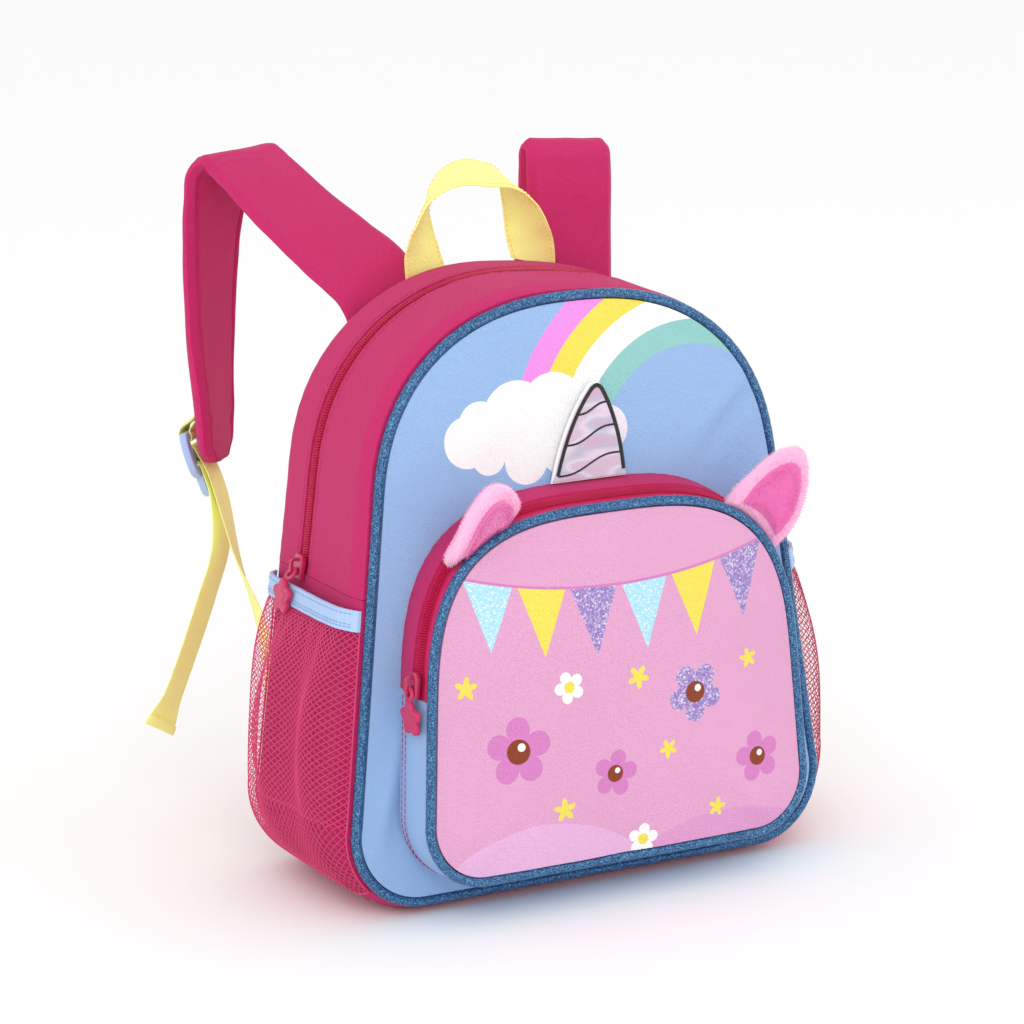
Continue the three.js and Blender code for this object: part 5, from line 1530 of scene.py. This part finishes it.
    def webbing(self) -> None:
        """The tail, the turns through the buckle, and the webbing to the bag's lower corner, as one band."""
        tab_end = self.lower_bar + self.BAR / 2 + self.TAB
        hang, face = self.local(tab_end, -self.face), self.face
        tail = [
            (hang + np.array([side, back, -down]) * self.TAIL, width_direction(yaw, tilt))
            for side, back, down, yaw, tilt in self.rows.tail[::-1]
        ]
        above = self.middle_bar - self.BAR / 2 - self.clear
        behind = -face - self.WEBBING - GAP
        lock = (
            (tab_end - 1, -face), (self.lower_bar + self.BAR / 2, -face),
            (self.lower_bar - self.BAR * 0.3, -face), (self.lower_slot + 1, -face * 0.7),
            (self.lower_slot, 0), (self.lower_slot - 1, face * 0.8),
            (self.middle_bar + self.BAR * 0.2, face), (self.middle_bar - self.BAR * 0.3, face),
            (above + 0.3, face * 0.8), (above, 0), (above + 0.3, -face * 0.8),
            (self.middle_bar - self.BAR * 0.2, -face), (self.lower_slot - 1, behind * 0.85),
            (self.lower_bar, behind - 0.4), (self.lower_bar + self.TAB * 0.7, behind - 1),
        )
        turns = [(self.local(*row), self.right) for row in lock]
        lie = REAR_Y + BACK_PAD / 2 + self.WEBBING / 2 + 3
        edge = float(BODY.half_at(np.array(34.0)))
        seam = np.array([self.side * (edge - 1), lie + 2, 38.0])
        leave = turns[-1][0]
        way = float(np.linalg.norm(seam - leave))
        drop = [
            (
                lerp(leave, seam, share) + np.array([-self.side * inward, -near, 0]) * way,
                width_direction(yaw, tilt)
            )
            for share, near, inward, yaw, tilt in self.rows.webbing
        ]
        sewn = (seam - np.array([self.side * 7.0, 2.5, 5.0]), drop[-1][1])
        self.hem(BandRoute([row[0] for row in tail], [row[1] for row in tail]))
        self.narrow(f"webbing {self.word}", f"webbing_{self.word}", [*tail, *turns, *drop, sewn], 420)

    def hem(self, tail: BandRoute) -> None:
        """The tail's end, folded back on itself and sewn: a thicker band over its last stretch."""
        share = self.HEM / tail.centres.length()
        frames = tail.frames(np.linspace(0, share, 16))
        c = np.linspace(-1, 1, 11)
        round_end = np.sin(np.linspace(0.12, 1, 16) * math.pi / 2)[:, None, None] ** 0.5
        middle = (
            frames.at[:, None] + frames.across[:, None] * (c[None, :, None] * (self.WEBBING_WIDTH / 2 + 0.3))
        )
        thick = (
            frames.normal[:, None] * webbing_half(0, c, self.WEBBING * 1.5 * 0.95)[None, :, None] * round_end
        )
        flat = np.stack(
            np.meshgrid(np.linspace(0, self.HEM, 16), c * self.WEBBING_WIDTH / 2, indexing="ij"), axis=-1
        )
        make(
            f"webbing {self.word} hem", shell(middle + thick, middle - thick, flat), self.f.webbing,
            slot="webbing"
        )


def placing(x: Array, y: Array, z: Array, at: Array) -> Matrix:
    """The matrix of a frame with three directions and an origin."""
    basis = np.eye(4)
    basis[:3, 0], basis[:3, 1], basis[:3, 2], basis[:3, 3] = x, y, z, at
    return Matrix(basis.tolist())


def bezier(a, b, c, d, steps: int = 10) -> Array:
    """Points of a cubic curve: (1-t)^3 a + 3(1-t)^2 t b + 3(1-t) t^2 c + t^3 d."""
    t = np.linspace(0, 1, steps)[:, None]
    a, b, c, d = (np.array(p, float) for p in (a, b, c, d))
    return (1 - t) ** 3 * a + 3 * (1 - t) ** 2 * t * b + 3 * (1 - t) * t**2 * c + t**3 * d


class Horn:
    """The flat horn: foam backing, foil face, satin-stitched edge and three slanted lines.

    TURNS: each line's height at its left and right end. HALVES: heights, and half the face's width at each.
    """

    WIDTH, HEIGHT, X, LEAN = 40.0, 47.0, 1.0, 7.0
    TURNS = ((1.0, 13.6), (16.0, 27.0), (31.0, 38.0))
    HALVES = ((0.0, 12.0, 24.0, 34.0, 42.0, 46.0), (18.0, 15.6, 12.2, 8.8, 5.0, 2.0))

    def __init__(self, finishes: Finishes):
        """Args: finishes: the materials."""
        self.f = finishes
        base = POCKET.top + 5 + 1.5 + CLOTH / 2 + 0.75
        y = float(front_panel_y(np.array(self.X), np.array(base + self.HEIGHT * 0.4))) - CLOTH / 2 - 3
        tilt = Matrix.Rotation(math.pi / 2 - math.atan(FRONT_LEAN / BODY.height), 4, "X")
        lean = Matrix.Rotation(-math.radians(self.LEAN), 4, "Z")
        self.matrix = Matrix.Translation((self.X, y, base)) @ tilt @ lean

    def outline(self, grow: float = 0.0) -> Array:
        """The horn's outline, grown by a distance."""
        w, h = self.WIDTH / 2, self.HEIGHT
        slant = w * math.tan(math.radians(self.LEAN))
        quad = lambda a, b, c, n=16: bezier(
            a, np.add(a, np.subtract(b, a) * 2 / 3), np.add(c, np.subtract(b, c) * 2 / 3), c, n
        )
        line = np.vstack([
            [[-w, -slant]],
            quad((w, slant), (w * 0.78, h * 0.6), (w * 0.18, h * 0.96)),
            quad((w * 0.18, h * 0.96), (0, h * 1.04), (-w * 0.18, h * 0.96), 8)[1:],
            quad((-w * 0.18, h * 0.96), (-w * 0.78, h * 0.6), (-w, -slant))[1:-1],
        ])
        along = unit(np.roll(line, -1, axis=0) - np.roll(line, 1, axis=0))
        return line + np.column_stack([along[:, 1], -along[:, 0]]) * grow

    def to_row(self, points: Array) -> Array:
        """Points of the horn's frame in the row frame."""
        m = np.array(self.matrix)
        return points @ m[:3, :3].T + m[:3, 3]

    def build(self) -> None:
        """Makes the backing, the face and the embroidery."""
        at = lambda z: self.matrix @ Matrix.Translation((0, 0, z))
        extruded(
            "horn backing", [self.outline()], 2, 0.3, at(1.0), self.f.foam, ["horn_backing"], "horn_foam"
        )
        extruded(
            "horn face", [self.outline(-0.8)], 1, 0.25, at(2.75), self.f.foil, ["horn_face"], "horn_foil"
        )
        self.satin()

    def satin(self) -> None:
        """Black satin stitches across the edge, and along three slanted lines."""
        edge = self.outline(-1.3)
        upper = edge[2:]
        pick = np.linspace(0, len(upper) - 1, 330)
        line = np.column_stack([np.interp(pick, np.arange(len(upper)), upper[:, i]) for i in (0, 1)])
        rows = [self.row(line, 2.1)]
        for left, right in self.TURNS:
            ends = [float(np.interp(z, self.HALVES[0], self.HALVES[1])) for z in (left, right)]
            share = np.linspace(0, 1, 90)
            rise = share + 0.12 * np.sin(2 * math.pi * (share - 0.5))
            rows.append(
                self.row(np.column_stack([lerp(-ends[0], ends[1], share), lerp(left, right, rise)]), 1.0)
            )
        make("horn stitching", together(rows), self.f.black_thread)

    def row(self, line: Array, width: float) -> Surface:
        """Close stitches laid across a line on the horn's face."""
        along = unit(np.gradient(line, axis=0))
        side = np.column_stack([along[:, 1], -along[:, 0]]) * width / 2
        lift = np.full((len(line), 1), 3.35)
        start, end = (self.to_row(np.hstack([line + k * side, lift])) for k in (-1, 1))
        out = np.tile(np.array(self.matrix)[:3, 2], (len(line), 1))
        direction = unit(self.to_row(np.hstack([along, lift])) - self.to_row(np.hstack([along * 0, lift])))
        return bars(start, end, direction, out, 0.24, 0.3)


class Ear:
    """A plush ear with a deeper lining. Sizes as in the CAD."""

    WIDTH, LENGTH, THICKNESS, EDGE, CUP, STEPS = 38.0, 42.0, 9.0, 3.0, 4.0, 96

    def __init__(
        self, side: int, seam_height: float, lift: float, nod: float, finishes: Finishes, lean: float = 0.18
    ):
        """Args: side: -1 left, 1 right. seam_height, lift, nod, lean: its row in the CAD.

        finishes: the materials.
        """
        self.side, self.word, self.lean, self.f = side, SIDE_WORD[side], lean, finishes
        share = np.array(POCKET.share_at(seam_height))
        seam = POCKET.offset(share, CLOTH / 2 + GAP + lift)
        normal = POCKET.offset(share, 1.0) - POCKET.offset(share, 0.0)
        a = math.radians(nod)
        self.up = np.array([side * normal[0] * math.cos(a), -math.sin(a), normal[1] * math.cos(a)])
        self.across = np.array([normal[1], 0.0, -side * normal[0]])
        self.facing = np.cross(self.across, self.up)
        depth = float(pocket_seam_y(seam[1])) + PIPING_RADIUS + GAP + self.EDGE / 2 + 0.6
        self.at = np.array([side * seam[0], depth, seam[1]])
        w, h = self.WIDTH, self.LENGTH
        base = bezier((-w / 2, -4), (-w / 6, 1.3), (w / 6, 1.3), (w / 2, -4), 30)
        right = bezier((w / 2, -4), (w * 0.62, h * 0.5), (w * 0.22, h), (0, h), 60)
        left = bezier((0, h), (-w * 0.22, h), (-w * 0.62, h * 0.5), (-w / 2, -4), 60)
        line = np.vstack([base[:-1], right[:-1], left[:-1]])
        closed = np.vstack([line, line[:1]])
        step = np.concatenate([[0], np.cumsum(np.linalg.norm(np.diff(closed, axis=0), axis=1))])
        even = np.linspace(0, step[-1], self.STEPS, endpoint=False)
        self.edge = np.column_stack([np.interp(even, step, closed[:, i]) for i in (0, 1)])
        self.middle = h * 0.42

    def point(self, i: Array, r: Array, out: Array) -> Array:
        """A point at the outline's step i, a share r of the way out, and a distance off its middle plane."""
        e = self.edge[i]
        x, y = e[..., 0] * r, self.middle + (e[..., 1] - self.middle) * r
        cup = self.CUP * (2 * x / self.WIDTH) ** 2 * np.clip(y / self.middle, 0, 1)
        local = np.stack([x - self.side * self.lean * y, y, out + cup], axis=-1)
        return self.at + local @ np.array([self.across, self.up, self.facing])

    def half(self, r: Array) -> Array:
        """Half the cushion's thickness."""
        return self.EDGE / 2 + (self.THICKNESS - self.EDGE) / 2 * np.sqrt(np.maximum(0, 1 - r**3))

    def build(self) -> None:
        """Makes the cushion, the lining and their pile."""
        r, i = np.meshgrid(np.linspace(0.01, 1, 26), np.arange(self.STEPS), indexing="ij")
        fuzz = 0.15 * ripple(r * 30, i * 0.6, 31, 3)
        rim = 1 - 0.5 * smooth(r, 0.94, 1.0)
        front = self.point(i, r, self.half(r) * rim + fuzz)
        back = self.point(i, r, -self.half(r) * rim - fuzz)
        flat = np.stack([self.edge[i][..., 0] * r, self.edge[i][..., 1] * r], axis=-1)
        cushion = plate(front, back, flat)
        piece = make(f"ear {self.word}", cushion, self.f.plush, [f"ear_{self.word}"], "ear_plush", 80)
        inner_r = r * 0.7
        raised = self.half(inner_r) + GAP + 1.6 * (1 - 0.8 * r**4)
        lining = plate(self.point(i, inner_r, raised), self.point(i, inner_r, self.half(inner_r) + 0.1), flat)
        make(
            f"ear lining {self.word}", lining, self.f.plush_inner, [f"ear_lining_{self.word}"],
            "ear_lining_plush", 80
        )
        self.pile(f"ear {self.word} pile", 12000, 0.0, 1.0, self.half, 1.2, self.f.plush)
        self.pile(
            f"ear lining {self.word} pile", 3500, 0.0, 0.7, lambda s: self.half(s) + 1.5, 1.1,
            self.f.plush_inner, front_only=True
        )

    def pile(
        self, name: str, count: int, low: float, high: float, half: Callable, length: float,
        material: bpy.types.Material, front_only: bool = False
    ) -> None:
        """Short fibres that stand on a face, each a narrow blade."""
        rng = np.random.default_rng(41 + self.side)
        i = rng.integers(0, self.STEPS, count)
        r = np.sqrt(rng.uniform(low**2, high**2, count))
        side = np.ones(count) if front_only else rng.choice([-1.0, 1.0], count)
        root = self.point(i, r, side * half(r) * (1 - 0.5 * smooth(r, 0.94, 1.0)))
        centre = self.point(i, np.zeros(count), np.zeros(count))
        out = unit(
            self.facing * side[:, None] + unit(root - centre) * (r[:, None] ** 3 * 1.6)
            + rng.normal(0, 0.3, (count, 3))
        )
        end = root + out * (length * rng.uniform(0.6, 1.1, (count, 1)))
        across = unit(np.cross(out, rng.normal(0, 1, (count, 3)))) * 0.1
        tip = across * 0.2
        points = np.stack([root - across, root + across, end + tip, end - tip], axis=1).reshape(-1, 3)
        quads = np.arange(count * 4).reshape(-1, 4)
        make(name, Surface(points, quads, points[:, [0, 2]]), material, angle=180)


class ZipHead:
    """A zip's slider with its pull through the bridge."""

    def __init__(self, word: str, at: Array, below: Array, tilt: float, bend: float, finishes: Finishes):
        """Args: word: main or pocket. at, below: its place and one further down. tilt, bend: degrees."""
        self.word, self.tilt, self.bend, self.f = word, tilt, bend, finishes
        down = unit(below - at)
        across = unit(np.array([0.0, 1.0, 0.0]) - down * down[1])
        self.matrix = placing(across, down, np.cross(across, down), at)

    def build(self) -> None:
        """Makes the slider, with its bridge, and the pull."""
        w, l = 3.75, 5.5
        plan = np.array(
            [[-w * 0.6, -l], [w * 0.6, -l], [w, -l * 0.5], [w * 0.75, l], [-w * 0.75, l], [-w, -l * 0.5]]
        )
        body = extruded(
            f"{self.word} zip slider", [plan], 3, 0.7, self.matrix @ Matrix.Translation((0, 0, 1.5)),
            self.f.slider, [f"{self.word}_zip_slider"], "zip_slider"
        )
        side = np.array([
            [-4, -0.4], [-4, 2.2], [-2.8, 3.6], [2.8, 3.6], [4, 2.2], [4, -0.4], [2.8, -0.4], [2.8, 2.4],
            [-2.8, 2.4], [-2.8, -0.4]
        ])
        upright = Matrix(((0, 0, 1, 0), (1, 0, 0, 0), (0, 1, 0, 3), (0, 0, 0, 1)))
        bridge = extruded(
            f"{self.word} zip slider bridge", [side], 1.6, 0.3, self.matrix @ upright, self.f.slider,
            slot="zip_slider"
        )
        bridge.parent = body
        self.pull()

    def pull(self) -> None:
        """A ring, a neck and a flower charm with a raised middle."""
        bridge_end = Matrix.Translation((0, 4 - 1.2 - GAP - 1.4 * 0.75, 3 + 1.2))
        hang = self.matrix @ (bridge_end @ Matrix.Rotation(math.radians(self.tilt), 4, "X"))
        a = np.linspace(0, 2 * math.pi, 40, endpoint=False)
        circle = lambda r, y: np.column_stack([r * np.cos(a), y + r * np.sin(a)])
        material, word = self.f.rubber, self.word
        ring = extruded(
            f"{word} zip pull", [circle(3.6, 2.95), circle(2.3, 2.95)], 1.4, 0.45, hang, material,
            [f"{word}_zip_pull"], "zip_pull"
        )
        neck = np.array([[-1.6, 5.6], [1.6, 5.6], [1.6, 9.2], [-1.6, 9.2]])
        pieces = [extruded(f"{word} zip pull neck", [neck], 1.5, 0.4, hang, material, slot="zip_pull")]
        bent = hang @ Matrix.Translation((0, 8.45, 0)) @ Matrix.Rotation(math.radians(self.bend), 4, "X")
        b = np.linspace(0, 2 * math.pi, 90, endpoint=False)
        flower = lambda size: np.column_stack(
            [size * 8 * (0.82 + 0.18 * np.cos(5 * (b + math.pi / 2))) * f(b) for f in (np.cos, np.sin)]
        ) + [0, 6.4]
        for label, size, depth, bevel in (("charm", 1.0, 3.0, 1.0), ("petals", 0.6, 3.6, 0.5)):
            label = f"{word} zip pull {label}"
            pieces.append(extruded(label, [flower(size)], depth, bevel, bent, material, slot="zip_pull"))
        for piece in pieces:
            piece.parent = ring


class Studio:
    """The floor, the light and the camera, as in the photograph. Lengths here are in metres.

    FOCAL and CENTRE are in pixels of the photograph, which is SIZE pixels wide.
    """

    TARGET, AZIMUTH, ELEVATION, DISTANCE = (0.0, 0.0, 0.150), -29.024, 14.71, 1.92419
    FOCAL, CENTRE, SIZE, SENSOR = 3870.85, (540.347, 564.401), 1024, 36
    FLOOR = 30

    def build(self) -> None:
        """Makes all three, and sets the colour view."""
        bpy.context.scene.view_settings.view_transform = "Standard"
        self.floor()
        self.lights()
        self.camera()

    def floor(self) -> None:
        """A wide, flat white floor."""
        mesh = bpy.data.meshes.new("floor")
        far = self.FLOOR
        mesh.from_pydata([(-far, -far, 0), (far, -far, 0), (far, far, 0), (-far, far, 0)], [], [(0, 1, 2, 3)])
        floor = bpy.data.objects.new("floor", mesh)
        material = Plain("floor", (0.96, 0.96, 0.96, 1), 0.8).material()
        mesh.materials.append(material)
        bpy.context.scene.collection.objects.link(floor)
        floor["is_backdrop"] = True

    def lights(self) -> None:
        """A bright even surround, a large soft key from the upper left, and a weak fill from the right."""
        world = bpy.data.worlds.new("surround")
        world.use_nodes = True
        world.node_tree.nodes["Background"].inputs[0].default_value = (1, 1, 1, 1)
        world.node_tree.nodes["Background"].inputs[1].default_value = 1.0
        bpy.context.scene.world = world
        for name, place_at, size, power in (
            ("key", (-0.9, -1.5, 1.3), 1.2, 10), ("fill", (1.6, -1.1, 0.7), 1.6, 3)
        ):
            data = bpy.data.lights.new(name, "AREA")
            data.size, data.energy = size, power
            light = bpy.data.objects.new(name, data)
            light.location = place_at
            aim = Vector(self.TARGET) - Vector(place_at)
            light.rotation_euler = aim.to_track_quat("-Z", "Y").to_euler()
            bpy.context.scene.collection.objects.link(light)
            light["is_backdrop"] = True

    def camera(self) -> None:
        """The photograph's view: azimuth -29 and elevation 14.7 degrees, 1.92 m away."""
        azimuth, elevation = math.radians(self.AZIMUTH), math.radians(self.ELEVATION)
        level = math.cos(elevation)
        back = Vector((math.sin(azimuth) * level, -math.cos(azimuth) * level, math.sin(elevation)))
        data = bpy.data.cameras.new("camera")
        data.sensor_width, data.lens = self.SENSOR, self.FOCAL / self.SIZE * self.SENSOR
        across, down = (centre - self.SIZE / 2 for centre in self.CENTRE)
        data.shift_x, data.shift_y = -across / self.SIZE, down / self.SIZE
        data.clip_start, data.clip_end = 0.05, 100
        camera = bpy.data.objects.new("camera", data)
        camera.location = Vector(self.TARGET) + back * self.DISTANCE
        camera.rotation_euler = (-back).to_track_quat("-Z", "Y").to_euler()
        bpy.context.scene.collection.objects.link(camera)
        bpy.context.scene.camera = camera


class Backpack:
    """The whole bag. MAIN_SLIDER and POCKET_SLIDER are the heights of the sliders."""

    MAIN_SLIDER, POCKET_SLIDER, SLIDER_LIFT = 159.5, 119.0, 1.4

    def __init__(self):
        f = Finishes()
        line = lambda z: z * 0 + MAIN_ZIP_Y
        zip_at = lambda share, inside: gusset_point(
            np.array([share]), np.array([0.5]), np.array([inside]), line, line
        )[0]
        main = 1 - BODY.share_at(self.MAIN_SLIDER)
        seat = ZIP_RECESS - self.SLIDER_LIFT
        middle = (Pocket.start + Pocket.end) / 2
        pocket_at = lambda share: pocket_point(np.array([share]), np.array([middle]), np.array([seat]))[0]
        pocket = 1 - POCKET.share_at(self.POCKET_SLIDER)
        self.parts = [
            Body(f), Pocket(f), SidePocket(-1, f), SidePocket(1, f), Handle(f),
            Strap(-1, LEFT_STRAP, f), Strap(1, RIGHT_STRAP, f), Horn(f),
            Ear(-1, 184, 2.6, 44, f), Ear(1, 175, 1.6, 10, f),
            ZipHead("main", zip_at(main, seat), zip_at(main + 0.004, seat), 36, -36, f),
            ZipHead("pocket", pocket_at(pocket), pocket_at(pocket + 0.006), -4, -4, f),
        ]

    def build(self) -> None:
        """Makes every part."""
        for part in self.parts:
            LOG.info("building %s", type(part).__name__)
            part.build()


def corners(found: tuple) -> list:
    """Two corners as plain lists."""
    return [list(map(float, corner)) for corner in found]


def main() -> None:
    """Builds the bag and its studio, and measures the size before and after."""
    logging.basicConfig(level=logging.INFO)
    before = corners(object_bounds())
    Backpack().build()
    Studio().build()
    {"cad": before, "built": corners(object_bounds())}


if __name__ == "__main__":
    main()
